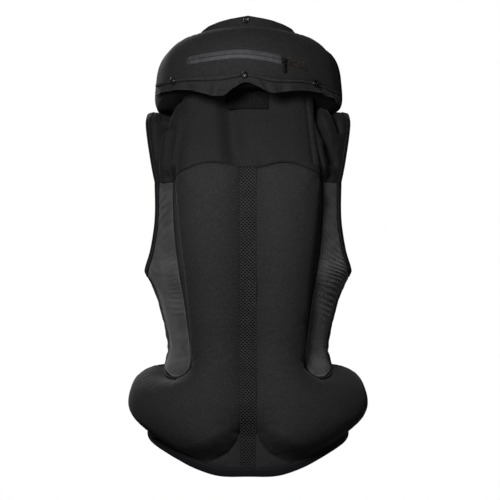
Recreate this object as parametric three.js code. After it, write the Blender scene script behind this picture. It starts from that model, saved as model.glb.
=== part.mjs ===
// Inflated airbag riding vest, held in the form it has when worn.
// Millimetres, +Z up, +Y from the back to the chest, +X to the vest's right.
// The origin lies between the shoulder straps, where the vest sits on the shoulders.
import * as THREE from "three";
import { mergeVertices } from "three/addons/utils/BufferGeometryUtils.js";

const { degToRad, lerp, clamp, smoothstep } = THREE.MathUtils;

// Driving dimensions
const GAP = 0.4;
const CLOTH = 3;
const MESH = 2;
const BINDING_WIDTH = 11;
const BINDING_DEPTH = 4.6;
const HEM_WIDTH = 13;
const PIPING_RADIUS = 1.4;
const PIPING_SEAT = 2.3;
const SPINE_HALF = 12;
const FRONT_ZIP_HALF = 7.5;
const FRONT_STRAP_X = 88;
const STRAP_HEM_Z = -88;
const WING_ROOT_Z = -386;
const WAIST_Z = -345;
const SIDE_SEAM = degToRad(92);
const SEAM_TURN = degToRad(0.23);
const STRAP_SEAT = 1.5;
const FRONT_ZIP_TOP_Z = -14;
const TORSO_SQUARENESS = 2.4;
const ROLL_SQUARENESS = 2.4;
const ROLL_FOOT_SQUARENESS = 4.5;
const ROLL_FOOT_TURNS = { low: degToRad(50), high: degToRad(80) };

// Armhole below the straps: half of a squared oval around the side seam
const ARMHOLE_SWEEP = degToRad(20.6);
const ARMHOLE_DROP = 134;
const ARMHOLE_SQUARENESS = 3;
const ARMHOLE_GIRTH = 150;

// Inflated lobes: height over the flat cloth, and how far their edges are rounded
const EDGE_ROUND = 26;
const SPINE_ROUND = 38;
const HEM_TAPER = 80;
const CHEST_HEIGHT = 20;
const CHEST_ROUND = 34;
const CHEST_MARGIN = 42;
const CHEST_TOP_Z = -6;
const VALLEY_FLOOR = 0.45;
const VALLEY_FOOT = { low: -480, high: -420 };
const YOKE_DENT = { x: -20, width: 20, share: 0.3 };

// Upper edge of a front panel below the collar
const FRONT_NECKLINE = [
  { x: 8, z: -12 },
  { x: 30, z: 0 },
  { x: 55, z: 2 },
  { x: 90, z: 0 },
];

// Worn torso from hem to neck: half width, and depth behind and in front of the axis
const TORSO = [
  { z: -540, half: 152, back: 112, front: 108 },
  { z: -480, half: 150, back: 108, front: 106 },
  { z: -430, half: 144, back: 98, front: 102 },
  { z: -386, half: 131, back: 86, front: 97 },
  { z: -345, half: 118, back: 80, front: 95 },
  { z: -290, half: 126, back: 85, front: 101 },
  { z: -252, half: 138, back: 90, front: 108 },
  { z: -222, half: 155, back: 94, front: 114 },
  { z: -190, half: 154, back: 97, front: 120 },
  { z: -140, half: 150, back: 99, front: 120 },
  { z: -90, half: 152, back: 97, front: 108 },
  { z: -40, half: 158, back: 88, front: 92 },
  { z: 20, half: 162, back: 66, front: 72 },
  { z: 60, half: 162, back: 54, front: 60 },
];

// Seam between a back column and the side mesh, down to the round foot of the mesh
const PAD_EDGE = [
  { z: -386, x: 104 },
  { z: -381, x: 94.5 },
  { z: -374, x: 88.5 },
  { z: -362, x: 85 },
  { z: -345, x: 85 },
  { z: -313, x: 88.5 },
  { z: -267, x: 95 },
  { z: -222, x: 103 },
  { z: -160, x: 110 },
  { z: -80, x: 111 },
  { z: -20, x: 102 },
  { z: 60, x: 100 },
];

// Double-arched seam under the yoke, and the yoke's upper edge below the collar
const YOKE_SEAM = [
  { x: 0, z: -66 },
  { x: 14, z: -66 },
  { x: 30, z: -63 },
  { x: 48, z: -58.5 },
  { x: 62, z: -58 },
  { x: 78, z: -62 },
  { x: 94, z: -71 },
  { x: 111, z: -84 },
];
const YOKE_TOP = [
  { x: 0, z: 64 },
  { x: 20, z: 62 },
  { x: 40, z: 56 },
  { x: 55, z: 51 },
  { x: 70, z: 45 },
  { x: 100, z: 31 },
];

// Lower edge of the vest against the turn from the middle of the back
const HEM = [
  { turn: 0, z: -535 },
  { turn: 20, z: -534.5 },
  { turn: 28, z: -531 },
  { turn: 41, z: -520 },
  { turn: 51, z: -508 },
  { turn: 61, z: -496 },
  { turn: 74, z: -483 },
  { turn: 90, z: -471 },
  { turn: 120, z: -466 },
  { turn: 180, z: -469 },
];

// Upper edge of a hip lobe, then its round end towards the front
const WING_TOP = [
  { turn: 59.5, z: -386 },
  { turn: 67, z: -385 },
  { turn: 75, z: -380 },
  { turn: 83, z: -372 },
  { turn: 92, z: -364 },
];
const WING_END = [
  { turn: 104, z: -372 },
  { turn: 113, z: -392 },
  { turn: 116, z: -414 },
  { turn: 112, z: -436 },
  { turn: 101, z: -450 },
];

// Edge of a lobe beside the spine and around its foot
const LOBE_FOOT = [
  { x: 8, z: 140 },
  { x: 8, z: -100 },
  { x: 8, z: -250 },
  { x: 8, z: -420 },
  { x: 10, z: -455 },
  { x: 17, z: -478 },
  { x: 30, z: -496 },
  { x: 48, z: -507 },
  { x: 66, z: -514 },
];

// Where the outline of a lobe follows the hem, and its upper end under the collar
const LOBE_HEM_TURNS = [32, 44, 56, 68, 80, 92];
const LOBE_HEAD = { girth: 100, z: 140 };

// Height of the back lobes up the vest
const LOBE_HEIGHT = [
  { z: -540, height: 42 },
  { z: -340, height: 41 },
  { z: -200, height: 43 },
  { z: -80, height: 41 },
  { z: -10, height: 33 },
  { z: 60, height: 22 },
];

// Outer edge of a strap against height, behind and in front of the shoulder
const STRAP_BACK = [
  { z: -88, arm: 140 },
  { z: -66, arm: 144.5 },
  { z: -42, arm: 148.5 },
  { z: -18, arm: 152 },
  { z: 3, arm: 154 },
];
const STRAP_CREST = [
  { neckX: 98, neckY: -36, neckZ: 12, armX: 153.5, armY: -14, armZ: 11, lift: 3 },
  { neckX: 91, neckY: -4, neckZ: 6, armX: 152, armY: 3, armZ: 14, lift: 4 },
  { neckX: 89, neckY: 28, neckZ: 4, armX: 151, armY: 20, armZ: 10, lift: 2 },
];
const STRAP_FRONT = [
  { z: -6, arm: 149 },
  { z: -32, arm: 145 },
  { z: -60, arm: 141 },
  { z: -88, arm: 137.2 },
];

// Folds of the loose strap cloth behind the shoulders, seen from behind
const STRAP_FOLDS = {
  left: [
    { x0: 127, z0: 14, x1: 139, z1: -44, width: 8, depth: -8 },
    { x0: 104, z0: 22, x1: 117, z1: -66, width: 6, depth: -5 },
    { x0: 117, z0: 8, x1: 126, z1: -70, width: 7, depth: 4 },
  ],
  right: [
    { x0: 98, z0: 18, x1: 127, z1: -68, width: 7, depth: -8 },
    { x0: 128, z0: 18, x1: 142, z1: -12, width: 6, depth: -7 },
    { x0: 118, z0: 10, x1: 138, z1: -50, width: 8, depth: 4 },
  ],
};

// Inflated neck roll around the neck's axis: place, section and lean of its top to the neck
const ROLL = [
  { turn: 0, reach: 97, rise: 104, thick: 41, tall: 47.5, lean: 12 },
  { turn: 30, reach: 100, rise: 99, thick: 40, tall: 46.5, lean: 11 },
  { turn: 48, reach: 102, rise: 92, thick: 39, tall: 47, lean: 9 },
  { turn: 60, reach: 103, rise: 86, thick: 38, tall: 47.5, lean: 8 },
  { turn: 75, reach: 103, rise: 73, thick: 37, tall: 50, lean: 6 },
  { turn: 90, reach: 103, rise: 64.5, thick: 37, tall: 47.5, lean: 4 },
  { turn: 120, reach: 98, rise: 46, thick: 33, tall: 38, lean: 2 },
  { turn: 150, reach: 90, rise: 35, thick: 28, tall: 31, lean: 0 },
];
const ROLL_END = degToRad(148);

// Flap under the roll: the hem it hangs from and its gathered lower edge
const FLAP_TOP = [
  { x: -130, z: 60 },
  { x: -104, z: 67 },
  { x: -50, z: 73 },
  { x: -6, z: 76 },
  { x: 40, z: 69 },
  { x: 80, z: 66 },
  { x: 104, z: 58 },
  { x: 130, z: 46 },
];
const FLAP_EDGE = [
  { x: -130, z: 42 },
  { x: -104, z: 52 },
  { x: -85, z: 53 },
  { x: -60, z: 49 },
  { x: -42, z: 44 },
  { x: -24, z: 52 },
  { x: -4, z: 64 },
  { x: 16, z: 57 },
  { x: 32, z: 48 },
  { x: 60, z: 51 },
  { x: 82, z: 50 },
  { x: 104, z: 43 },
  { x: 130, z: 33 },
];
const FLAP_REACH = 131;
const FLAP_END = degToRad(72);
const FLAP_TUCK = 3;
const FLAP_DEPTH = 1.8;
const FLAP_RIPPLES = 11;
const FLAP_RIPPLE_HEIGHT = 2;

// Arched zip on the back of the roll
const ZIP = [
  { x: -91, z: 96 },
  { x: -60, z: 102 },
  { x: -15, z: 107 },
  { x: 20, z: 104 },
  { x: 53, z: 97 },
  { x: 84, z: 90 },
];
const ZIP_HALF_HEIGHT = 7.5;
const ZIP_BREAK = 5;
const ZIP_SLIDER_X = 54;
const ZIP_END_X = 84;
const ZIP_DEPTH = 1.4;
const ZIP_SEAT = GAP;
const SLIDER = { width: 8, height: 8, depth: 4.2, round: 2, seat: 0.8 };
const PULL = { width: 5, height: 17, depth: 1.6, round: 2, aside: -1.5, drop: 9.5 };

// Neck band, loop patch and press studs
const BAND_DEPTH = 2.6;
const BAND_SEAT = degToRad(112);
const BAND_END = degToRad(138);
const BAND_LEAN = 2;
const BAND = [
  { turn: 0, height: 17 },
  { turn: 60, height: 15 },
  { turn: 140, height: 10 },
];
const PATCH = { left: -30.5, right: 30, bottom: 23.5, top: 52, depth: 2.6, seat: 0.9 };
const STUD_RADIUS = 5.6;
const STUD_SEAT = 3.6;
const NECK_STUD = { x: -3, rise: 11 };
const STUDS = [
  { name: "snap_left", x: -104, z: 66 },
  { name: "snap_centre", x: -6, z: 75.5 },
  { name: "snap_right", x: 92, z: 62.5 },
];

// Rows of cells shared by neighbouring panels, so that their edges meet
const ACROSS = [0, 0.1, 0.22, 0.36, 0.5, 0.64, 0.78, 0.9, 1];
const WING_ACROSS = [0, 0.2, 0.4, 0.6, 0.8, 1];
const FRONT_ACROSS = [0, 0.25, 0.5, 0.75, 1];
const BELOW_WING = [0, 0.08, 0.17, 0.28, 0.42, 0.6, 0.8];
const FOOT_LEVELS = [-386, -381, -374, -362, -345];
const SIDE_LEVELS = [-320, -296, -272, -252, -240, -231, -226, -214, -194, -165, -130, -104];
const SEAM_STEPS = [1 / 3, 2 / 3, 1];
const YOKE_STEPS = [0, 0.1, 0.25, 0.42, 0.6, 0.8, 1];
const STRAP_STEPS = 20;
const STRAP_ACROSS = 6;

// Smooth function through a table, from one column to another
function through(rows, from, to) {
  const sorted = [...rows].sort((a, b) => a[from] - b[from]);
  const curve = new THREE.CubicInterpolant(
    sorted.map((row) => row[from]),
    sorted.map((row) => row[to]),
    1,
  );
  return (value) => curve.evaluate(value)[0];
}

const halfAt = through(TORSO, "z", "half");
const backAt = through(TORSO, "z", "back");
const frontAt = through(TORSO, "z", "front");
const padEdgeAt = through(PAD_EDGE, "z", "x");
const yokeSeamAt = through(YOKE_SEAM, "x", "z");
const yokeTopAt = through(YOKE_TOP, "x", "z");
const necklineAt = through(FRONT_NECKLINE, "x", "z");
const lobeHeightAt = through(LOBE_HEIGHT, "z", "height");
const flapTopAt = through(FLAP_TOP, "x", "z");
const flapEdgeAt = through(FLAP_EDGE, "x", "z");
const zipAt = through(ZIP, "x", "z");
const hemByDegree = through(HEM, "turn", "z");
const wingTopByDegree = through(WING_TOP, "turn", "z");
const bandByDegree = through(BAND, "turn", "height");
const hemAt = (turn) => hemByDegree(THREE.MathUtils.radToDeg(Math.abs(turn)));
const hemEdgeAt = (turn) => hemAt(turn) + HEM_WIDTH + GAP;
const wingTopAt = (turn) => wingTopByDegree(THREE.MathUtils.radToDeg(turn));

// Worn torso: a squared oval at each height
function formPoint(turn, z) {
  const depth = Math.abs(turn) < Math.PI / 2 ? backAt(z) : frontAt(z);
  const along = (Math.abs(Math.cos(turn)) / depth) ** TORSO_SQUARENESS;
  const across = (Math.abs(Math.sin(turn)) / halfAt(z)) ** TORSO_SQUARENESS;
  const radius = (along + across) ** (-1 / TORSO_SQUARENESS);
  return new THREE.Vector3(radius * Math.sin(turn), -radius * Math.cos(turn), z);
}

// Level direction out of the torso
function formNormal(turn, z) {
  const turnStep = 0.02;
  const around = formPoint(turn + turnStep, z).sub(formPoint(turn - turnStep, z));
  return new THREE.Vector3(around.y, -around.x, 0).normalize();
}

// Point of the vest at a depth outside the torso
function vestPoint(turn, z, depth) {
  return formPoint(turn, z).addScaledVector(formNormal(turn, z), depth);
}

// Turn at which the torso is x to the side, behind or in front
function turnBehind(x, z) {
  const across = Math.min(Math.abs(x) / halfAt(z), 0.999) ** TORSO_SQUARENESS;
  const depth = backAt(z) * (1 - across) ** (1 / TORSO_SQUARENESS);
  return Math.atan2(x, depth);
}

function turnInFront(x, z) {
  const across = Math.min(Math.abs(x) / halfAt(z), 0.999) ** TORSO_SQUARENESS;
  const depth = frontAt(z) * (1 - across) ** (1 / TORSO_SQUARENESS);
  return Math.PI - Math.atan2(x, depth);
}

// Armhole edge: the sweep left of the side seam at a height, grown by a margin
function armholeSweep(z, margin) {
  const sweep = ARMHOLE_SWEEP + margin / ARMHOLE_GIRTH;
  const fall = clamp((STRAP_HEM_Z - z) / (ARMHOLE_DROP + margin), 0, 1);
  return sweep * (1 - fall ** ARMHOLE_SQUARENESS) ** (1 / ARMHOLE_SQUARENESS);
}

// Distance around the torso from the middle of the back
function girth(turn, z) {
  return turn * (backAt(z) + ((halfAt(z) - backAt(z)) * turn) / Math.PI);
}

// Outline of one inflated lobe on the unrolled torso
const unrolled = (turn, z) => new THREE.Vector3(girth(turn, z), z, 0);
const lobeFoot = LOBE_FOOT.map(({ x, z }) => unrolled(turnBehind(x, z), z));
const lobeHem = LOBE_HEM_TURNS.map((turn) => {
  const angle = degToRad(turn);
  return unrolled(angle, hemEdgeAt(angle) + 1);
});
const lobeHead = new THREE.Vector3(LOBE_HEAD.girth, LOBE_HEAD.z, 0);
const lobeEnd = [...WING_TOP, ...WING_END].map(({ turn, z }) => unrolled(degToRad(turn), z));
const lobeSide = PAD_EDGE.map(({ x, z }) => unrolled(turnBehind(x, z), z));
const lobeRim = [...lobeHem, ...lobeEnd.reverse(), ...lobeSide, lobeHead];
const lobeOutline = [...lobeFoot, ...lobeRim];

function distanceTo(points, place) {
  const nearest = new THREE.Vector3();
  let best = Infinity;
  for (let k = 1; k < points.length; k += 1) {
    new THREE.Line3(points[k - 1], points[k]).closestPointToPoint(place, true, nearest);
    best = Math.min(best, nearest.distanceTo(place));
  }
  return best;
}

function isInside(outline, place) {
  let inside = false;
  outline.forEach((a, k) => {
    const b = outline[(k + 1) % outline.length];
    const spans = a.y > place.y !== b.y > place.y;
    if (spans && place.x < a.x + ((b.x - a.x) * (place.y - a.y)) / (b.y - a.y)) {
      inside = !inside;
    }
  });
  return inside;
}

// Rounded rise from an edge: a quarter circle stretched to height one
function pillow(away, round) {
  return Math.sqrt(1 - (1 - clamp(away / round, 0, 1)) ** 2);
}

// Part of a lobe's height that is left beside the spine
function columnShare(turn, z) {
  const grown = smoothstep(z, VALLEY_FOOT.low, VALLEY_FOOT.high);
  const away = distanceTo(lobeFoot, unrolled(turn, z));
  const rise = lerp(smoothstep(away, 0, SPINE_ROUND), pillow(away, SPINE_ROUND), grown);
  return lerp(VALLEY_FLOOR * grown, 1, rise);
}

// Depth of the inflated back and hip lobes outside the torso
function lobeDepth(turn, z, share = columnShare(turn, z)) {
  const place = unrolled(turn, z);
  if (!isInside(lobeOutline, place)) {
    return CLOTH;
  }
  const taper = 1 - (1 - clamp((z - hemAt(turn)) / HEM_TAPER, 0, 1)) ** 2;
  const edge = pillow(distanceTo(lobeRim, place), EDGE_ROUND);
  return CLOTH + lobeHeightAt(z) * taper * edge * share;
}

function spineDepth(z) {
  return lobeDepth(turnBehind(SPINE_HALF + GAP, z), z);
}

// Depth of the yoke: the valley over the spine fades into a soft dent aside from it
function yokeDepth(x, z) {
  const turn = turnBehind(Math.max(Math.abs(x), SPINE_HALF + GAP), z);
  const dent = 1 - YOKE_DENT.share * Math.exp(-(((x - YOKE_DENT.x) / YOKE_DENT.width) ** 2));
  const share = lerp(columnShare(turn, z), dent, smoothstep(z, -66, -20));
  return lobeDepth(turn, z, share);
}

// Depth of a plain front panel: a chest pad beside the end of the hip lobe
function chestDepth(turn, z) {
  const place = formPoint(turn, z);
  const fromZip = Math.abs(place.x) - FRONT_ZIP_HALF - GAP;
  const fromSide = girth(turn, z) - girth(SIDE_SEAM + armholeSweep(z, BINDING_WIDTH), z) - CHEST_MARGIN;
  const fromHem = z - hemEdgeAt(turn);
  const fromTop = CHEST_TOP_Z - z;
  const sides = pillow(fromZip, CHEST_ROUND) * pillow(fromSide, CHEST_ROUND);
  const ends = pillow(fromHem, CHEST_ROUND) * pillow(fromTop, CHEST_ROUND);
  return Math.max(lobeDepth(turn, z), CLOTH + CHEST_HEIGHT * sides * ends);
}

// Closed wall: an outer and an inner sheet over kept cells of a grid, with a rim around them
function wall(columns, rows, outerAt, innerAt, isKept = () => true) {
  const places = [];
  const triangles = [];
  const numbers = new Map();
  const vertex = (i, j, side) => {
    const key = `${i} ${j} ${side}`;
    if (!numbers.has(key)) {
      numbers.set(key, places.length / 3);
      places.push(...(side ? outerAt(i, j) : innerAt(i, j)).toArray());
    }
    return numbers.get(key);
  };
  const quad = (a, b, c, d) => triangles.push(a, b, c, a, c, d);
  const has = (i, j) => i >= 0 && j >= 0 && i < columns && j < rows && isKept(i, j);
  for (let j = 0; j < rows; j += 1) {
    for (let i = 0; i < columns; i += 1) {
      if (!has(i, j)) {
        continue;
      }
      const loop = [[i, j], [i + 1, j], [i + 1, j + 1], [i, j + 1]];
      const [outer, inner] = [1, 0].map((side) => loop.map(([p, q]) => vertex(p, q, side)));
      quad(...outer);
      quad(inner[3], inner[2], inner[1], inner[0]);
      const neighbours = [[i, j - 1], [i + 1, j], [i, j + 1], [i - 1, j]];
      neighbours.forEach(([p, q], k) => {
        if (!has(p, q)) {
          const next = (k + 1) % 4;
          quad(inner[k], inner[next], outer[next], outer[k]);
        }
      });
    }
  }
  return surface(places, triangles);
}

function surface(places, triangles) {
  const geometry = new THREE.BufferGeometry();
  geometry.setAttribute("position", new THREE.Float32BufferAttribute(places, 3));
  geometry.setIndex(triangles);
  geometry.computeVertexNormals();
  return geometry;
}

// Closed tube through rings of points, with a fan over each end
function tube(rings) {
  const count = rings[0].length;
  const places = rings.flat().flatMap((point) => point.toArray());
  const triangles = [];
  for (let r = 0; r + 1 < rings.length; r += 1) {
    for (let k = 0; k < count; k += 1) {
      const a = r * count + k;
      const b = r * count + ((k + 1) % count);
      triangles.push(a, b, b + count, a, b + count, a + count);
    }
  }
  [rings[0], rings.at(-1)].forEach((ring, end) => {
    const middle = ring.reduce((sum, point) => sum.add(point), new THREE.Vector3());
    const centre = places.length / 3;
    places.push(...middle.divideScalar(count).toArray());
    const first = end ? (rings.length - 1) * count : 0;
    for (let k = 0; k < count; k += 1) {
      const pair = [first + k, first + ((k + 1) % count)];
      triangles.push(centre, ...(end ? pair : pair.reverse()));
    }
  });
  return surface(places, triangles);
}

// Height of the yoke's seam at a share of the way from the spine to the side
function yokeSeamZ(share) {
  return yokeSeamAt(lerp(SPINE_HALF, padEdgeAt(STRAP_HEM_Z), share));
}

// Place at a share of the way up from the hem, where the turn itself depends on the height
function settle(reach, top, share) {
  let z = top;
  for (let pass = 0; pass < 6; pass += 1) {
    z = lerp(hemEdgeAt(reach(z)), top, share);
  }
  return [reach(z), z];
}

// Back column and hip lobe in one panel: the lobe's cells lie beside the column's lower rows
function backPad() {
  const column = ACROSS.length - 1;
  const columns = column + WING_ACROSS.length - 1;
  const below = BELOW_WING.length;
  const levels = [...FOOT_LEVELS.slice(1), ...SIDE_LEVELS];
  const rows = below + levels.length + SEAM_STEPS.length;
  const place = (i, j) => {
    const isWing = i > column;
    const share = isWing ? WING_ACROSS[i - column] : ACROSS[i];
    const reach = (z) => {
      const rootZ = isWing ? Math.min(z, WING_ROOT_Z) : z;
      const root = turnBehind(padEdgeAt(rootZ) - (rootZ > WING_ROOT_Z ? PIPING_SEAT : 0), rootZ);
      const start = turnBehind(SPINE_HALF + GAP, z);
      return isWing ? lerp(root, SIDE_SEAM - SEAM_TURN, share) : lerp(start, root, share);
    };
    if (j <= below) {
      const top = (isWing ? wingTopAt(reach(WING_ROOT_Z)) : WING_ROOT_Z) - PIPING_SEAT;
      return settle(reach, top, j < below ? BELOW_WING[j] : 1);
    }
    if (j <= below + levels.length) {
      const z = levels[j - below - 1];
      return [reach(z), z];
    }
    const seam = yokeSeamZ(share) - GAP;
    const z = lerp(levels.at(-1), seam, SEAM_STEPS[j - below - levels.length - 1]);
    return [reach(z), z];
  };
  const outerAt = (i, j) => {
    const [turn, z] = place(i, j);
    return vestPoint(turn, z, lobeDepth(turn, z));
  };
  const innerAt = (i, j) => vestPoint(...place(i, j), 0);
  return wall(columns, rows, outerAt, innerAt, (i, j) => i < column || j < below);
}

// Mesh strip that bridges the valley between the back columns
function spineMesh() {
  const across = [-1, 0, 1];
  const levels = [...FOOT_LEVELS, ...SIDE_LEVELS];
  const foot = hemEdgeAt(0);
  const heights = [
    ...BELOW_WING.map((share) => lerp(foot, WING_ROOT_Z, share)),
    ...levels,
    yokeSeamAt(0) - GAP,
  ];
  const at = (i, j, sink) => {
    const z = heights[j];
    const turn = turnBehind(across[i] * (SPINE_HALF - GAP), z);
    return vestPoint(turn, z, Math.max(spineDepth(z) - sink, 0.2));
  };
  return wall(2, heights.length - 1, (i, j) => at(i, j, 0.4), (i, j) => at(i, j, 2.8));
}

// Upper back panel, with the back columns' cells carried on above the seam
function yoke() {
  const shares = [...[...ACROSS].reverse(), 0, ...ACROSS];
  const at = (i, j, isOuter) => {
    const share = shares[i];
    const turnAt = (z) => {
      const side = turnBehind(padEdgeAt(z) - PIPING_SEAT, z);
      return lerp(turnBehind(SPINE_HALF + GAP, z), side, share);
    };
    const top = yokeTopAt(formPoint(turnAt(YOKE_TOP[0].z), YOKE_TOP[0].z).x);
    const z = lerp(yokeSeamZ(share) + GAP, top, YOKE_STEPS[j]);
    const turn = Math.sign(i - ACROSS.length) * turnAt(z);
    return vestPoint(turn, z, isOuter ? yokeDepth(formPoint(turn, z).x, z) : 0);
  };
  const cells = shares.length - 1;
  return wall(cells, YOKE_STEPS.length - 1, (i, j) => at(i, j, true), (i, j) => at(i, j, false));
}

// Rows of the side mesh and of the front panel that follow the hip lobe's upper edge
function footRow(bottom, level) {
  const share = (level - WING_ROOT_Z) / (WAIST_Z - WING_ROOT_Z);
  return lerp(bottom, WAIST_Z, share);
}

function sideMesh() {
  const levels = [...FOOT_LEVELS, ...SIDE_LEVELS, STRAP_HEM_Z - STRAP_SEAT];
  const place = (i, j) => {
    const share = WING_ACROSS[i];
    const level = levels[j];
    const rootTurn = turnBehind(padEdgeAt(WING_ROOT_Z), WING_ROOT_Z);
    const bottom = wingTopAt(lerp(rootTurn, SIDE_SEAM, share)) + PIPING_SEAT + GAP;
    const z = level < WAIST_Z ? footRow(bottom, level) : level;
    const back = turnBehind(padEdgeAt(z - PIPING_SEAT) + PIPING_SEAT, z);
    const side = SIDE_SEAM - armholeSweep(z, BINDING_WIDTH + GAP) - SEAM_TURN;
    return [lerp(back, side, share), z];
  };
  const outerAt = (i, j) => vestPoint(...place(i, j), MESH);
  const innerAt = (i, j) => vestPoint(...place(i, j), 0);
  return wall(WING_ACROSS.length - 1, levels.length - 1, outerAt, innerAt);
}

// Piping around the back edge and the foot of a side mesh
function sidePiping() {
  const levels = [...SIDE_LEVELS, ...FOOT_LEVELS].sort((a, b) => b - a);
  const route = [STRAP_HEM_Z - STRAP_SEAT, ...levels];
  const places = route.map((z) => [turnBehind(padEdgeAt(z), z), z]);
  const root = places.at(-1)[0];
  WING_ACROSS.slice(1).forEach((share) => {
    const turn = lerp(root, SIDE_SEAM - SEAM_TURN, share);
    places.push([turn, wingTopAt(turn)]);
  });
  const centres = places.map(([turn, z]) => vestPoint(turn, z, PIPING_RADIUS));
  const sides = 6;
  const rings = centres.map((centre, k) => {
    const ahead = centres[Math.min(k + 1, centres.length - 1)];
    const behind = centres[Math.max(k - 1, 0)];
    const along = ahead.clone().sub(behind).normalize();
    const out = formNormal(...places[k]);
    const aside = new THREE.Vector3().crossVectors(along, out).normalize();
    return Array.from({ length: sides }, (_, side) => {
      const angle = (2 * Math.PI * side) / sides;
      const point = centre.clone().addScaledVector(aside, PIPING_RADIUS * Math.cos(angle));
      return point.addScaledVector(out, PIPING_RADIUS * Math.sin(angle));
    });
  });
  return tube(rings.map((ring) => ring.reverse()));
}

// Shoulder strap: sections on the torso behind and in front, and free sections over the crest
function strapCurve(across) {
  const behind = STRAP_BACK.map(({ z, arm }) => {
    const neck = turnBehind(padEdgeAt(z) - PIPING_SEAT + 2 * GAP, z);
    return formPoint(lerp(neck, turnBehind(arm, z), across), z);
  });
  const crest = STRAP_CREST.map((row) => {
    const neck = new THREE.Vector3(row.neckX, row.neckY, row.neckZ);
    const arm = new THREE.Vector3(row.armX, row.armY, row.armZ);
    const point = neck.lerp(arm, across);
    point.z += row.lift * Math.sin(Math.PI * across ** 2);
    return point;
  });
  const before = STRAP_FRONT.map(({ z, arm }) => {
    const neck = turnInFront(FRONT_STRAP_X + 2 * GAP, z);
    return formPoint(lerp(neck, turnInFront(arm, z), across), z);
  });
  return new THREE.CatmullRomCurve3([...behind, ...crest, ...before]);
}

function strapNormal(along, across) {
  const step = 0.01;
  const before = clamp(along - step, 0, 1);
  const after = clamp(along + step, 0, 1);
  const curve = strapCurve(across);
  const up = curve.getPoint(after).sub(curve.getPoint(before));
  const left = strapCurve(across - step).getPoint(along);
  const right = strapCurve(across + step).getPoint(along);
  return right.sub(left).cross(up).normalize();
}

function foldDepth(folds, point) {
  if (point.y > 0) {
    return 0;
  }
  const place = new THREE.Vector3(point.x, point.z, 0);
  const nearest = new THREE.Vector3();
  return folds.reduce((sum, { x0, z0, x1, z1, width, depth }) => {
    const line = new THREE.Line3(new THREE.Vector3(x0, z0, 0), new THREE.Vector3(x1, z1, 0));
    const away = line.closestPointToPoint(place, true, nearest).distanceTo(place);
    return sum + depth * Math.exp(-((away / width) ** 2));
  }, 0);
}

// Share of a strap's width that its cloth covers beside the binding
function strapClothShare(along) {
  const width = strapCurve(0).getPoint(along).distanceTo(strapCurve(1).getPoint(along));
  return 1 - BINDING_WIDTH / width;
}

function shoulderStrap(folds) {
  const at = (i, j, depth) => {
    const along = j / STRAP_STEPS;
    const across = (strapClothShare(along) - 0.015) * (i / STRAP_ACROSS);
    const point = strapCurve(across).getPoint(along);
    const ease = Math.sin(Math.PI * clamp(i / STRAP_ACROSS, 0, 1)) ** 0.5;
    const rise = depth + ease * foldDepth(folds, point);
    return point.addScaledVector(strapNormal(along, across), rise);
  };
  return wall(STRAP_ACROSS, STRAP_STEPS, (i, j) => at(i, j, CLOTH), (i, j) => at(i, j, 0));
}

// Bound edge of an armhole: a closed band over the strap and around under the arm
function armholeBinding() {
  const overStrap = Array.from({ length: STRAP_STEPS + 1 }, (_, j) => {
    const along = j / STRAP_STEPS;
    const share = strapClothShare(along);
    return [share, 1].map((across) => ({
      point: strapCurve(across).getPoint(along),
      normal: strapNormal(along, across),
    }));
  });
  const drop = ARMHOLE_DROP + BINDING_WIDTH;
  const heights = [...SIDE_LEVELS].filter((z) => z > STRAP_HEM_Z - drop);
  const onSide = (z, sign) => {
    const fall = (STRAP_HEM_Z - z) / drop;
    const edgeZ = STRAP_HEM_Z - fall * ARMHOLE_DROP;
    const places = [
      [SIDE_SEAM + sign * armholeSweep(z, BINDING_WIDTH), z],
      [SIDE_SEAM + sign * armholeSweep(edgeZ, 0), edgeZ],
    ];
    return places.map((place) => ({ point: formPoint(...place), normal: formNormal(...place) }));
  };
  const front = [...heights].reverse().map((z) => onSide(z, 1));
  const under = [onSide(STRAP_HEM_Z - drop, 1)];
  const back = heights.map((z) => onSide(z, -1));
  const loop = [...overStrap, ...front, ...under, ...back];
  const at = (step, side, depth) => {
    const { point, normal } = loop[step % loop.length][side];
    return point.clone().addScaledVector(normal, depth);
  };
  const rings = loop.map((_, k) => [
    at(k, 0, 0),
    at(k, 0, BINDING_DEPTH - 0.6),
    at(k, 1, BINDING_DEPTH - 0.6),
    at(k, 1, 0),
  ]);
  return hoop(rings);
}

// Closed band through rings of points, the last ring joined to the first
function hoop(rings) {
  const count = rings[0].length;
  const places = rings.flat().flatMap((point) => point.toArray());
  const triangles = [];
  rings.forEach((_, r) => {
    const ahead = ((r + 1) % rings.length) * count;
    for (let k = 0; k < count; k += 1) {
      const next = (k + 1) % count;
      const [a, b] = [r * count + k, r * count + next];
      triangles.push(a, b, ahead + next, a, ahead + next, ahead + k);
    }
  });
  return surface(places, triangles);
}

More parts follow.
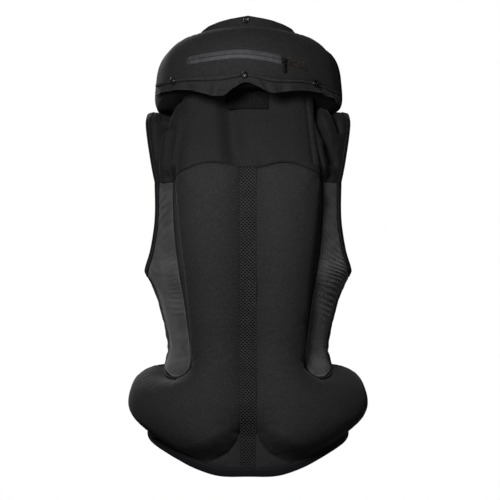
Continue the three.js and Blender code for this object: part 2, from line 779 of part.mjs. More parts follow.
// Plain padded front panel from the side seam to the closure, and up beside the neck
function frontPanel() {
  const outer = FRONT_ACROSS.length - 1;
  const columns = 2 * outer;
  const below = BELOW_WING.length;
  const foot = FOOT_LEVELS.slice(1);
  const levels = [...SIDE_LEVELS, STRAP_HEM_Z - STRAP_SEAT];
  const top = [0.25, 0.5, 0.75, 1];
  const rows = below + foot.length + levels.length + top.length;
  const place = (i, j) => {
    const share = FRONT_ACROSS[i <= outer ? i : i - outer];
    const reach = (z) => {
      const side = SIDE_SEAM + armholeSweep(z, BINDING_WIDTH + GAP) + SEAM_TURN;
      const middle = turnInFront(FRONT_STRAP_X - 1, z);
      const zip = turnInFront(FRONT_ZIP_HALF + GAP, z);
      return i <= outer ? lerp(side, middle, share) : lerp(middle, zip, share);
    };
    const side = wingTopAt(SIDE_SEAM);
    if (j <= below) {
      return settle(reach, side, j < below ? BELOW_WING[j] : 1);
    }
    const strapRow = below + foot.length + levels.length;
    if (j <= strapRow) {
      const k = j - below - 1;
      const z = k < foot.length ? footRow(side, foot[k]) : levels[k - foot.length];
      return [reach(z), z];
    }
    const x = lerp(FRONT_STRAP_X - 1, FRONT_ZIP_HALF + GAP, share);
    const z = lerp(levels.at(-1), necklineAt(x), top[j - strapRow - 1]);
    return [reach(z), z];
  };
  const outerAt = (i, j) => {
    const [turn, z] = place(i, j);
    return vestPoint(turn, z, chestDepth(turn, z));
  };
  const innerAt = (i, j) => vestPoint(...place(i, j), 0);
  const upper = below + foot.length + levels.length;
  return wall(columns, rows, outerAt, innerAt, (i, j) => i >= outer || j < upper);
}

function frontZip() {
  const rows = 22;
  const at = (i, j, depth) => {
    const z = lerp(hemAt(Math.PI), FRONT_ZIP_TOP_Z, j / rows);
    const x = lerp(FRONT_ZIP_HALF, -FRONT_ZIP_HALF, i / 2);
    const turn = turnInFront(Math.abs(x), z) * (x < 0 ? -1 : 1);
    return vestPoint(turn, z, depth + (i === 1 ? 1 : 0));
  };
  return wall(2, rows, (i, j) => at(i, j, CLOTH + 1), (i, j) => at(i, j, 0));
}

function hemBinding() {
  const steps = 64;
  const end = turnInFront(FRONT_ZIP_HALF + GAP, hemAt(Math.PI));
  const at = (i, j, depth) => {
    const turn = lerp(-end, end, i / steps);
    const z = hemAt(turn) + (j ? HEM_WIDTH : 0);
    return vestPoint(turn, z, depth);
  };
  return wall(steps, 1, (i, j) => at(i, j, BINDING_DEPTH), (i, j) => at(i, j, 0));
}

// Neck roll: squared oval sections around the neck, leaning in at the top
const rollAt = Object.fromEntries(
  ["reach", "rise", "thick", "tall", "lean"].map((key) => [key, through(ROLL, "turn", key)]),
);
const rollRow = (turn) => {
  const degrees = THREE.MathUtils.radToDeg(Math.abs(turn));
  return Object.fromEntries(Object.entries(rollAt).map(([key, at]) => [key, at(degrees)]));
};
const aroundNeck = (turn, reach, z) =>
  new THREE.Vector3(reach * Math.sin(turn), -reach * Math.cos(turn), z);

// The roll's lower outer corner is squarer over the shoulders than behind the neck
function rollFootSquareness(turn) {
  const share = smoothstep(Math.abs(turn), ROLL_FOOT_TURNS.low, ROLL_FOOT_TURNS.high);
  return lerp(ROLL_SQUARENESS, ROLL_FOOT_SQUARENESS, share);
}

function rollPoint(turn, angle, scale) {
  const { reach, rise, thick, tall, lean } = rollRow(turn);
  const isFoot = Math.cos(angle) > 0 && Math.sin(angle) < 0;
  const squareness = isFoot ? rollFootSquareness(turn) : ROLL_SQUARENESS;
  const squared = (value) => Math.sign(value) * Math.abs(value) ** (2 / squareness);
  const out = squared(Math.cos(angle)) * thick;
  const up = squared(Math.sin(angle));
  return aroundNeck(turn, reach + scale * (out - lean * up), rise + scale * up * tall);
}

// Distance of the roll's outer face from the neck's axis at a height
function rollReach(turn, z) {
  const { reach, rise, thick, tall, lean } = rollRow(turn);
  const up = clamp((z - rise) / tall, -1, 1);
  const squareness = up < 0 ? rollFootSquareness(turn) : ROLL_SQUARENESS;
  return reach + thick * (1 - Math.abs(up) ** squareness) ** (1 / squareness) - lean * up;
}

function collarRoll() {
  const sides = 14;
  const steps = 26;
  const ends = [
    { turn: ROLL_END + 0.2, scale: 0.45 },
    { turn: ROLL_END + 0.12, scale: 0.84 },
  ];
  const middle = Array.from({ length: steps + 1 }, (_, k) => ({
    turn: lerp(-ROLL_END, ROLL_END, k / steps),
    scale: 1,
  }));
  const start = ends.map(({ turn, scale }) => ({ turn: -turn, scale }));
  const stations = [...start, ...middle, ...[...ends].reverse()];
  const ring = ({ turn, scale }) => {
    return Array.from({ length: sides }, (_, k) => {
      return rollPoint(turn, (-2 * Math.PI * (k + 0.5)) / sides, scale);
    });
  };
  return tube(stations.map(ring));
}

// Thin stand-up band along the roll's inner shoulder
function neckBand() {
  const steps = 28;
  const at = (i, j, depth) => {
    const turn = lerp(-BAND_END, BAND_END, i / steps);
    const seat = rollPoint(turn, BAND_SEAT, 1);
    const reach = Math.hypot(seat.x, seat.y) - BAND_LEAN / 2;
    const height = bandByDegree(THREE.MathUtils.radToDeg(Math.abs(turn)));
    return aroundNeck(turn, reach + depth - BAND_LEAN * (j / 2), seat.z + GAP + (j / 2) * height);
  };
  return wall(steps, 2, (i, j) => at(i, j, 0), (i, j) => at(i, j, -BAND_DEPTH));
}

// Flap that hangs from the roll, with a rippled lower edge
function flapPoint(turn, drop, depth) {
  const x = FLAP_REACH * Math.sin(turn);
  const top = flapTopAt(x);
  const z = lerp(top, flapEdgeAt(x), drop);
  const ripple = FLAP_RIPPLE_HEIGHT * Math.sin(FLAP_RIPPLES * turn) * drop;
  const hang = rollReach(turn, top) - FLAP_TUCK * drop ** 2 + ripple;
  return aroundNeck(turn, Math.max(hang, rollReach(turn, z)) + 2.5 * GAP + depth, z);
}

function collarFlap() {
  const steps = 40;
  const at = (i, j, depth) => {
    return flapPoint(lerp(-FLAP_END, FLAP_END, i / steps), 1 - j / 2, depth);
  };
  return wall(steps, 2, (i, j) => at(i, j, FLAP_DEPTH), (i, j) => at(i, j, 0));
}

// Patch of cloth on the roll around a line of heights
function rollPatch(left, right, steps) {
  const at = (i, j, out) => {
    const x = lerp(left, right, i / steps);
    const turn = Math.asin(x / rollReach(0, zipAt(0)));
    const z = zipAt(x) + ZIP_HALF_HEIGHT * (j - 1);
    return aroundNeck(turn, rollReach(turn, z) + ZIP_SEAT + out, z);
  };
  return wall(steps, 2, (i, j) => at(i, j, ZIP_DEPTH), (i, j) => at(i, j, 0));
}

function loopPatch() {
  const [columns, rows] = [8, 4];
  const at = (i, j, depth) => {
    const x = lerp(PATCH.left, PATCH.right, i / columns);
    const z = lerp(PATCH.bottom, PATCH.top, j / rows);
    return vestPoint(turnBehind(x, z), z, yokeDepth(x, z) + PATCH.seat + depth);
  };
  return wall(columns, rows, (i, j) => at(i, j, PATCH.depth), (i, j) => at(i, j, 0));
}

// Solid of revolution for a press stud, its axis along +Z
function studGeometry() {
  const profile = [[0, 0], [STUD_RADIUS, 0], [STUD_RADIUS, 1.2], [4, 2.4], [2.4, 2.2], [0, 1.4]];
  const points = profile.map(([x, y]) => new THREE.Vector2(x, y));
  const lathe = new THREE.LatheGeometry(points, 10).rotateX(Math.PI / 2);
  lathe.deleteAttribute("normal");
  lathe.deleteAttribute("uv");
  return mergeVertices(lathe, 1e-3);
}

function roundedBar({ width, height, depth, round }) {
  const shape = new THREE.Shape();
  const [x, y] = [width / 2, height / 2];
  shape.moveTo(-x + round, -y);
  shape.lineTo(x - round, -y);
  shape.absarc(x - round, -y + round, round, -Math.PI / 2, 0);
  shape.absarc(x - round, y - round, round, 0, Math.PI / 2);
  shape.absarc(-x + round, y - round, round, Math.PI / 2, Math.PI);
  shape.absarc(-x + round, -y + round, round, Math.PI, 1.5 * Math.PI);
  return new THREE.ExtrudeGeometry(shape, { depth, bevelEnabled: false, curveSegments: 2 });
}

// Finishes
const finish = (color, roughness, metalness = 0) =>
  new THREE.MeshStandardMaterial({ color, roughness, metalness });
const stretchCloth = finish(0x2c2c2d, 0.85);
const lightMesh = finish(0x4a4a4c, 0.9);
const darkMesh = finish(0x1c1c1d, 0.9);
const binding = finish(0x121215, 0.75);
const hookTape = finish(0x0e0e0e, 0.95);
const zipTape = finish(0x464549, 0.55);
const studMetal = finish(0x17171a, 0.35, 0.6);

const vest = new THREE.Group();

function add(name, geometry, material) {
  const mesh = new THREE.Mesh(geometry, material);
  mesh.name = name;
  vest.add(mesh);
  return mesh;
}

// Right and left pieces from the right one's shape, mirrored in X
function addPair(name, geometryOf, material) {
  add(`${name}_right`, geometryOf("right"), material);
  add(`${name}_left`, geometryOf("left"), material).scale.x = -1;
}

// Piece made along +Z, set on the roll at (x, z) and facing out of it
function addOnRoll(name, geometry, material, x, z, seat) {
  const turn = Math.asin(x / rollReach(0, z));
  const mesh = add(name, geometry, material);
  mesh.position.copy(aroundNeck(turn, rollReach(turn, z) + seat, z));
  mesh.rotation.set(Math.PI / 2, turn, 0, "XYZ");
  return mesh;
}

addPair("back_pad", backPad, stretchCloth);
addPair("side_mesh", sideMesh, lightMesh);
addPair("side_piping", sidePiping, binding);
addPair("shoulder_strap", (side) => shoulderStrap(STRAP_FOLDS[side]), stretchCloth);
addPair("front_panel", frontPanel, stretchCloth);
addPair("armhole_binding", armholeBinding, binding);
add("spine_mesh", spineMesh(), darkMesh);
add("yoke", yoke(), stretchCloth);
add("front_zip", frontZip(), binding);
add("hem_binding", hemBinding(), binding);
add("collar_roll", collarRoll(), stretchCloth);
add("neck_band", neckBand(), stretchCloth);
add("collar_flap", collarFlap(), stretchCloth);
add("loop_patch", loopPatch(), hookTape);
add("zip_tape", rollPatch(ZIP[0].x, ZIP_SLIDER_X - ZIP_BREAK, 18), zipTape);
add("zip_garage", rollPatch(ZIP_SLIDER_X + ZIP_BREAK, ZIP_END_X, 5), hookTape);

const sliderZ = zipAt(ZIP_SLIDER_X);
addOnRoll("zip_slider", roundedBar(SLIDER), studMetal, ZIP_SLIDER_X, sliderZ, SLIDER.seat);
const pull = roundedBar(PULL).translate(PULL.aside, -PULL.drop, 0);
const pullSeat = SLIDER.seat + SLIDER.depth + GAP;
addOnRoll("zip_pull", pull, studMetal, ZIP_SLIDER_X, sliderZ, pullSeat);

for (const { name, x, z } of STUDS) {
  addOnRoll(name, studGeometry(), studMetal, x, z, STUD_SEAT);
}

const bandSeat = rollPoint(0, BAND_SEAT, 1);
const bandLean = BAND_LEAN / BAND[0].height;
const neckStud = add("snap_neck", studGeometry(), studMetal);
const neckStudY = bandSeat.y + BAND_LEAN / 2 + bandLean * NECK_STUD.rise - 2 * GAP;
neckStud.position.set(NECK_STUD.x, neckStudY, bandSeat.z + NECK_STUD.rise);
neckStud.rotation.set(Math.PI / 2 - Math.atan(bandLean), 0, 0);

export default vest;
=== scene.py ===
"""Looks of an inflated airbag vest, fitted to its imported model.

Shapes are worked out in millimetres and become metres where a mesh is made. +Z is up, +Y runs from the back
to the chest and +X to the vest's right. Each surface is a function of two parameters on a grid.
"""
import math
from types import SimpleNamespace as Sizes

import bpy
import numpy as np
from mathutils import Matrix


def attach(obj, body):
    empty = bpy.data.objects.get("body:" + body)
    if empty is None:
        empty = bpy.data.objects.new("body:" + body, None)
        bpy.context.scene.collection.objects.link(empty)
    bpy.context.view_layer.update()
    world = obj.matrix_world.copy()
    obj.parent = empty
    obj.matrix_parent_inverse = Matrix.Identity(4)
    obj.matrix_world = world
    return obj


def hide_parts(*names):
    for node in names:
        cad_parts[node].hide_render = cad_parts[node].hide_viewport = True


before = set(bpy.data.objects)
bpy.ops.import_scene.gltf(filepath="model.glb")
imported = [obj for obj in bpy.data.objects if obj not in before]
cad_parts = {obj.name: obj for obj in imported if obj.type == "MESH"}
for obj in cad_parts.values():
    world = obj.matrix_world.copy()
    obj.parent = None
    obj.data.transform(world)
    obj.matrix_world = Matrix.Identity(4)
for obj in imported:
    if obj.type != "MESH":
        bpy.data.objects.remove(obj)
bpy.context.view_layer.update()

# Sizes that several pieces share
MM = 0.001
TINY = 1e-9
GAP = 0.4
CLOTH = 3
SEAM_LAP = 1.2
TAPE_LAP = 3
SEAM_TURN = math.radians(-0.05)
SIDE_SEAM = math.radians(92)
WING_ROOT_Z = -386
WAIST_Z = -345
LAST_LEVEL_Z = -104
SHARP_TURN = math.radians(38)
SETTLE_PASSES = 6
LATTICE = 64
PUCKER = Sizes(drift=2.5, drift_size=2.5, row=7, swell_size=4, mean=0.55, swell=0.45)
FORM = Sizes(squareness=2.4, step=0.02, widest=0.999)

# Sizes of the single pieces
ARMHOLE = Sizes(sweep=math.radians(20.6), drop=134, squareness=3, girth=150, step=0.01)
BINDING = Sizes(width=11, depth=4, squareness=3.2, sides=14, around=2.0)
HEM_TAPE = Sizes(width=13, depth=4.6, lap=1.6)
PIPING = Sizes(radius=1.4, seat=2.3, lift=0.6, side_growth=0.5, roll_growth=0.1)
LOBE = Sizes(
    edge_round=26, spine_round=38, foot_round=30, foot_pillow=0.45, hem_taper=64, flange=4, relief_rise=12,
    hem_turns=(32, 92), top_turn=91, side_z=(-385, 60), ease=0.3, head=(100.0, 140.0),
)
VALLEY = Sizes(floor=0.45, foot_z=(-480, -420))
SEAM = Sizes(depth=2.4, width=2.2, lap_drop=(0.2, 0.6))
SPINE = Sizes(half=12, lap=2.5, z=(-560, 0), average=9, backing_sinks=(2.0, 3.2), least=0.2)
NET = Sizes(pitch=2.7, wave=5.2, radius=0.5, sides=5, margin=1.6, step=0.72, sink=0.9, lift=0.25, apart=0.12)
YOKE = Sizes(dent_x=-20, dent_width=20, dent_share=0.3, blend_z=(-66, -20), middle=0.1)
CHEST = Sizes(height=20, round=34, margin=42, top_z=-6, relief_rise=8, strap_gap=1)
FRONT_ZIP = Sizes(half=7.5, top_z=-14, rise=0.9, sunk=0.4)
TEETH = Sizes(height=1.1, width=2.2, pitch=2.9, mean=0.75, swing=0.25)
MESH = Sizes(seat=0.5, lap=5, thread=0.8, pitch=2.5, course=0.36, repeat=(2, 9), hem_rows=2, head_rows=8)
WRINKLE = Sizes(
    lean=(0.15, 1.0), lean_z=(-300, -170), length=15, drift=3.5, drift_size=34, patch=(-0.3, 0.5),
    patch_size=46, height=0.9, soft=1.4, soft_size=30, rise=1.8, hold=0.6, foot_z=(-384, -366),
    head_z=(86, 104),
)
STRAP = Sizes(
    front_x=88, hem_z=-88, seat=1.5, tuck=-0.3, apart=0.015, inner=1.4, cloth=(150, 60), ease=0.3,
    behind_y=(-6, 8), climb={-1: 22, 1: 17}, climb_power=1.6, climb_z=(-90, -62),
)
COLLAR = Sizes(
    squareness=2.4, foot_squareness=4.5, foot_turns=np.radians((50, 80)),
    underside=np.radians((216, 318)), end=math.radians(148), dome=0.24, dome_share=0.999,
    arc=103, girth=40, inside=(-0.1, 0.9), fold=1.6, fold_length=24, fold_drift=2.2, fold_size=55,
)
COLLAR_SEAM = Sizes(angle=math.radians(78), girth=42, depth=2.2, width=2.4, ends=(-2.3, -2.0))
COLLAR_PIPING = Sizes(turns=np.radians((84, -98)), angles=np.radians((118, -70)), swell=0.9, core=0.9)
BAND = Sizes(
    seat=math.radians(112), end=math.radians(138), lean=2, thick=1.68, arc=70, cloth=17, wave=0.9,
    wave_size=26, wave_rows=20, ripple=0.35, ripple_length=17, lip=0.7, lip_share=0.12,
)
FLAP = Sizes(
    reach=131, end=math.radians(72), tuck=-1.5, depth=1.8, seat=1.0, clear=0.3, girth=18, rumple=0.7,
    rumple_size=7, rumple_rows=24, fold_power=1.2,
)
FLAP_HEM = Sizes(rise=0.6, edge=(0.8, 0.86), groove=0.5, groove_at=0.78, groove_width=0.03)
FLAP_LIP = Sizes(rise=3, edge=(-0.24, -0.2), groove=1.2, groove_at=0.27, groove_width=0.04)
ZIP = Sizes(
    half=7.5, shown=6.6, end_round=4, least=0.02, slider_x=54, slider_gap=5, end_x=84, seat=0.6, sunk=0.3
)
ZIP_LIPS = Sizes(
    rise=1.0, height=0.6, width=3.6, groove=1.2, groove_width=0.4, sewn=0.5, sewn_at=(5.2, 6.5), rumple=0.12,
    rumple_size=12,
)
GARAGE = Sizes(rise=0.5, crown=1.4, power=4, ease=6, rumple=0.9, rumple_size=3.2)
PATCH = Sizes(left=-30.5, right=30, bottom=23.5, top=52, seat=0.9, rise=1.0, sunk=0.3, sewn=(0.6, 2.6))
TUFT = Sizes(least=0.2, height=1.1, clump=0.5, clump_size=4.5)
STUDS = {"snap_left": (-104, 66), "snap_centre": (-6, 75.5), "snap_right": (92, 62.5)}
STUD_SUNK = 0.4
NECK_STUD = Sizes(x=-3, rise=11)
SLIDER_SEAT = 0.8
BAR_SQUARENESS = 4.5
STITCH = Sizes(
    pitch=3.2, length=2.3, radius=0.34, sides=5, look=0.3, flap_drop=0.07, beside_zip=2, on_roll=0.9,
    hem_share=0.8, hem_rise=0.02, armhole_share=0.2, armhole_rise=-0.02,
)

# Cloth simulation of the blown-up panels, in units of 100 mm
SIM = Sizes(unit=0.01, frames=20, thinning=2, hold=0.02, cap=5, start=0.94)
SIM_CLOTH = {
    "quality": 6, "mass": 0.03, "air_damping": 2, "tension_stiffness": 12, "compression_stiffness": 12,
    "shear_stiffness": 4, "bending_stiffness": 0.05, "use_pressure": True, "uniform_pressure_force": 3,
}

# Numbers of points along the grids
STEPS = Sizes(
    pad_column=58, pad_wing=44, pad_low=62, pad_level=128, pad_seam=22, lobe_hem=40, lobe_top=30,
    lobe_side=160, strip=200, backing=160, backing_across=9, yoke=72, yoke_up=84, mesh=49, mesh_up=178,
    piping=152, piping_lobe=40, cord=10, strap=72, strap_along=150, armhole=110, armhole_foot=46,
    hem=260, front_outer=30, front_inner=42, front_low=46, front_level=100, front_head=34, front_zip=17,
    front_zip_up=340, roll=210, roll_dome=16, roll_section=104, roll_piping=90, band=220, band_up=22,
    flap=330, flap_down=48, zip=150, zip_up=41, garage=46, garage_up=31, patch=128, patch_up=54,
    stud=40, bar=48, floor=96, flap_stitch=400, zip_stitch=200, zip_end_stitch=20, hem_stitch=600,
)

# Seeds of the reliefs, by side where the two sides differ
SEEDS = Sizes(
    back_pad={1: 11, -1: 23}, front_panel={1: 91, -1: 97}, side_mesh={1: 51, -1: 67}, strap={1: 71, -1: 83},
    yoke=37, fold=5, roll_seam=8, roll=9, band=13, flap=17, flap_rumple=18, zip=19, garage=29, tuft=43,
    clump=44,
)

# Rumples of a panel: height, size and step from its seed
RUMPLES = {
    "lobe": ((1.1, 62, 0), (0.5, 25, 3)),
    "chest": ((1.0, 58, 0), (0.5, 24, 2)),
    "strap": ((0.9, 22, 0), (0.5, 9, 1)),
    "roll": ((0.7, 60, 0), (0.35, 22, 1)),
}

# Gathers at a seam: height, length of a wave, reach and step from the seed
GATHERS = {"lobe": (0.9, 11, 12, 5), "roll": (0.9, 13, 9, 0), "flap": (1.1, 8.5, 16, 0)}


def table(names, *rows):
    """Columns of a small table by their names."""
    return dict(zip(names.split(), np.array(rows, float).T))


# Inner form from hem to neck: half width, and depth behind and in front of the axis
FORM_ROWS = table(
    "z half back front",
    (-540, 152, 112, 108), (-480, 150, 108, 106), (-430, 144, 98, 102), (-386, 131, 86, 97),
    (-345, 118, 80, 95), (-290, 126, 85, 101), (-252, 138, 90, 108), (-222, 155, 94, 114),
    (-190, 154, 97, 120), (-140, 150, 99, 120), (-90, 152, 97, 108), (-40, 158, 88, 92),
    (20, 162, 66, 72), (60, 162, 54, 60),
)

# Edges and heights of the panels
PAD_EDGE = table(
    "z x",
    (-386, 104), (-381, 94.5), (-374, 88.5), (-362, 85), (-345, 85), (-313, 88.5), (-267, 95),
    (-222, 103), (-160, 110), (-80, 111), (-20, 102), (60, 100),
)
YOKE_SEAM = table(
    "x z", (0, -66), (14, -66), (30, -63), (48, -58.5), (62, -58), (78, -62), (94, -71), (111, -84)
)
YOKE_TOP = table("x z", (0, 71), (20, 69.5), (40, 66), (55, 62), (70, 57), (100, 47))
FRONT_NECKLINE = table("x z", (8, -12), (30, 0), (55, 2), (90, 0))
HEM = table(
    "turn z",
    (0, -535), (20, -534.5), (28, -531), (41, -520), (51, -508), (61, -496), (74, -483), (90, -471),
    (120, -466), (180, -469),
)
WING_TOP = table("turn z", (59.5, -386), (67, -385), (75, -380), (83, -372), (92, -364))
WING_END = table("turn z", (92, -364), (104, -372), (113, -392), (116, -414), (112, -436), (101, -450))
LOBE_FOOT = table(
    "x z",
    (8, 140), (8, -100), (8, -250), (8, -420), (10, -455), (17, -478), (30, -496), (48, -507), (66, -514),
)
PAD_FLANGE = table(
    "z width",
    (-386, 0.5), (-365, 4), (-330, 6), (-267, 9), (-200, 12), (-120, 11), (-84, 6), (-40, 1), (60, 0),
)
LOBE_HEIGHT = table("z height", (-540, 42), (-340, 41), (-200, 43), (-80, 41), (-10, 33), (60, 22))

# Sections of the shoulder straps behind, over and in front of the shoulder
STRAP_BACK = table("z arm", (-88, 140), (-66, 144.5), (-42, 148.5), (-18, 152), (3, 154))
STRAP_CREST = table(
    "neck_x neck_y neck_z arm_x arm_y arm_z lift",
    (98, -36, 12, 153.5, -14, 11, 3), (91, -4, 6, 152, 3, 14, 4), (89, 28, 4, 151, 20, 10, 2),
)
STRAP_FRONT = table("z arm", (-6, 149), (-32, 145), (-60, 141), (-88, 137.2))

# Straight folds of the cloth: from one end to the other, with a width and a depth
FOLD_COLUMNS = "x0 z0 x1 z1 width depth"
YOKE_FOLDS = table(
    FOLD_COLUMNS,
    (-31, 30, -21, -58, 12, -8), (-48, 20, -40, -50, 16, 3), (84, 46, 89, -58, 2.6, -3.5),
    (76, 30, 80, -50, 9, -2), (93, 16, 97, -60, 4, 2.5), (-70, 40, -66, -40, 20, -2),
)
STRAP_FOLDS = {
    -1: table(
        FOLD_COLUMNS,
        (109, 40, 127, -10, 6, -22), (130, 24, 139, -44, 7, -17), (122, -24, 127, -84, 8, 3),
        (111, -10, 117, -80, 4, -6), (136, -50, 138, -84, 6, -3),
    ),
    1: table(
        FOLD_COLUMNS,
        (90, 34, 127, -58, 5.5, -17), (129, 12, 139, -10, 4.5, -12), (118, 10, 138, -50, 12, 2),
        (112, -40, 122, -80, 5, -4), (128, -30, 136, -72, 6, -3), (106, -30, 112, -80, 6, 2),
    ),
}

# Neck roll, and the edges and folds of what is sewn on it
ROLL = table(
    "turn reach rise thick tall lean",
    (0, 97, 104, 41, 47.5, 12), (30, 100, 99, 40, 46.5, 11), (48, 102, 92, 39, 47, 9),
    (60, 103, 86, 38, 47.5, 8), (75, 103, 73, 37, 50, 6), (90, 103, 64.5, 37, 47.5, 4),
    (120, 98, 46, 33, 38, 2), (150, 90, 35, 28, 31, 0),
)
FLAP_TOP = table(
    "x z", (-130, 60), (-104, 67), (-50, 73), (-6, 76), (40, 69), (80, 66), (104, 58), (130, 46)
)
FLAP_EDGE = table(
    "x z",
    (-130, 41), (-110, 50), (-85, 52.5), (-66, 49), (-48, 43.5), (-32, 45), (-20, 55), (-4, 64), (14, 57.5),
    (30, 48.5), (60, 51), (82, 51), (104, 46), (118, 37), (130, 25),
)
FLAP_FOLDS = table(
    "x width height lean",
    (-122, 6, 4.0, 6), (-112, 4, -2.4, 5), (-97, 7, 3.6, 4), (-84, 5, -2.4, 3), (-68, 9, 3.6, 2),
    (-52, 4, -2.0, -3), (-42, 6, 5.6, -3), (-28, 5, -3.0, -8), (-16, 4, 2.6, -6), (9, 3.4, 4.4, 14),
    (16, 3, -3.0, 14), (30, 6, 5.4, 6), (46, 5, -2.6, 4), (62, 8, 4.0, -3), (80, 5, -2.0, 8),
    (89, 4, 4.4, 12), (96, 3, -3.4, 12), (104, 4, 5.6, 12), (113, 3.4, -3.4, 10), (120, 5, 5.0, 8),
)
ZIP_LINE = table("x z", (-91, 96), (-60, 102), (-15, 107), (20, 104), (53, 97), (84, 90))
BAND_HEIGHT = table("turn height", (0, 17), (60, 15), (140, 10))

# Profiles of a stud, of a bar's edge and of a stitch
STUD_PROFILE = table(
    "radius height",
    (0.02, 0), (5.2, 0), (5.6, 0.4), (5.6, 1.0), (5.3, 1.5), (4.7, 2.2), (4.1, 2.5), (3.5, 2.4), (3.0, 1.9),
    (2.4, 1.5), (1.7, 1.5), (1.3, 1.9), (0.7, 2.1), (0.02, 2.15),
)
BAR_EDGE = table("inset rise", (0.9, 0), (0.25, 0.05), (0, 0.25), (0, 0.75), (0.25, 0.95), (0.9, 1))
STITCH_RINGS = table("along radius", (-0.5, 0.35), (-0.3, 1), (0.3, 1), (0.5, 0.35))

# Bars of the zip's hardware: two plates and a bridge for the slider, a tongue and four ribs for the pull
BAR_COLUMNS = "width height depth corner x y rise"
SLIDER_BARS = table(
    BAR_COLUMNS, (8, 8, 1.6, 0.8, 0, 0, 0), (7, 7.4, 1.4, 0.7, 0, 0, 1.5), (2.2, 6.6, 1.6, 0.5, 0, 0, 2.7)
)
PULL_BARS = table(
    BAR_COLUMNS,
    (5, 17, 1.3, 0.5, -1.5, -9.5, 4.6), (4, 1, 0.5, 0.2, -1.5, -12, 5.8), (4, 1, 0.5, 0.2, -1.5, -13.6, 5.8),
    (4, 1, 0.5, 0.2, -1.5, -15.2, 5.8), (4, 1, 0.5, 0.2, -1.5, -16.8, 5.8),
)


# Curves and reliefs
def lerp(a, b, share):
    """Value at a share of the way from a to b."""
    return a + (b - a) * share


def smoothstep(value, low, high):
    """Ease from 0 to 1: 3 t squared minus 2 t cubed between low and high."""
    t = np.clip((value - low) / (high - low), 0, 1)
    return t * t * (3 - 2 * t)


def eased(count, crowd=0.7):
    """Steps from 0 to 1 that crowd at both ends: even steps mixed with half a cosine wave."""
    even = np.linspace(0, 1, count)
    return lerp(even, (1 - np.cos(np.pi * even)) / 2, crowd)


def pillow(away, reach):
    """Rounded rise from an edge: a quarter circle stretched to height one."""
    return np.sqrt(1 - (1 - np.clip(away / reach, 0, 1)) ** 2)


def bell(away, width, power=2):
    """Bump of height one that falls off to both sides: e to the minus power of the share of its width."""
    return np.exp(-((away / width) ** power))


def wave(place, length, drift=0.0):
    """Sine wave of a length along a path, shifted by a drift."""
    return np.sin(2 * np.pi * place / length + drift)


def squared(swing, power):
    """Cosine or sine of a squared oval: its sign, with its size raised to a power."""
    return np.sign(swing) * np.abs(swing) ** power


def circle(count, start=0.0):
    """Even angles around a circle."""
    return 2 * np.pi * (np.arange(count) + start) / count


def unit(way):
    """Directions made one long."""
    return way / np.maximum(np.linalg.norm(way, axis=-1, keepdims=True), TINY)


def stacked(*parts):
    """Values that spread over each other, as the last axis of one array."""
    return np.stack(np.broadcast_arrays(*parts), -1)


def lengths(points, axis=0):
    """Length along a path or along one way of a grid, added up from its steps."""
    return np.cumsum(np.linalg.norm(np.gradient(points, axis=axis), axis=-1), axis=axis)


def through(columns, key, value):
    """Smooth curve through a table: a cubic on each span, whose weights lean on the rows around it."""
    order = np.argsort(columns[key])
    knots = columns[key][order]
    heights = columns[value][order]
    last = len(knots) - 1

    def curve(at):
        at = np.clip(np.asarray(at, float), knots[0], knots[-1])
        right = np.clip(np.searchsorted(knots, at, side="right"), 1, last)
        left = right - 1
        before = np.where(left > 0, left - 1, right)
        after = np.where(right < last, right + 1, left)
        half = (knots[right] - knots[left]) / 2
        lead = half / (knots[left] - knots[before])
        trail = half / (knots[after] - knots[right])
        s = (at - knots[left]) / (2 * half)
        s2 = s * s
        s3 = s2 * s
        total = heights[before] * lead * (2 * s2 - s3 - s)
        total += heights[left] * ((1 + lead) * s3 - (1.5 + 2 * lead) * s2 + (lead - 0.5) * s + 1)
        total += heights[right] * ((1.5 + trail) * s2 - (1 + trail) * s3 + 0.5 * s)
        return total + heights[after] * trail * (s3 - s2)

    return curve


def rumple(u, v, size, seed):
    """Smooth random relief from -1 to 1: seeded values on a square lattice, eased between its corners."""
    draw = np.random.default_rng(seed).uniform(-1, 1, (LATTICE, LATTICE))
    p = np.asarray(u, float) / size
    q = np.asarray(v, float) / size
    i = np.floor(p).astype(int)
    j = np.floor(q).astype(int)
    f = smoothstep(p - i, 0, 1)
    g = smoothstep(q - j, 0, 1)
    i, i_next, j, j_next = (k % LATTICE for k in (i, i + 1, j, j + 1))
    return lerp(lerp(draw[i, j], draw[i_next, j], f), lerp(draw[i, j_next], draw[i_next, j_next], f), g)


def rumples(u, v, kind, seed):
    """Sum of the rumples of one kind of panel."""
    return sum(height * rumple(u, v, size, seed + step) for height, size, step in RUMPLES[kind])


def gathers(along, away, kind, seed):
    """Gathers at a seam: an uneven wave along it that fades away from it."""
    height, length, reach, step = GATHERS[kind]
    seed = seed + step
    drift = PUCKER.drift * rumple(along, 0 * along, PUCKER.drift_size * length, seed)
    swell = PUCKER.swell * rumple(along, 0 * along + PUCKER.row, PUCKER.swell_size * length, seed + 1)
    return height * wave(along, length, drift) * (PUCKER.mean + swell) * np.exp(-away / reach)


def crease(x, z, x0, z0, x1, z1, width, depth):
    """Fold along a straight line: a bell across it that fades past its ends."""
    along = np.array([x1 - x0, z1 - z0])
    share = np.clip(((x - x0) * along[0] + (z - z0) * along[1]) / (along @ along), 0, 1)
    return depth * bell(np.hypot(x - x0 - share * along[0], z - z0 - share * along[1]), width)


def creases(x, z, columns):
    """Sum of the folds in a table."""
    return sum(crease(x, z, *row) for row in zip(*columns.values()))


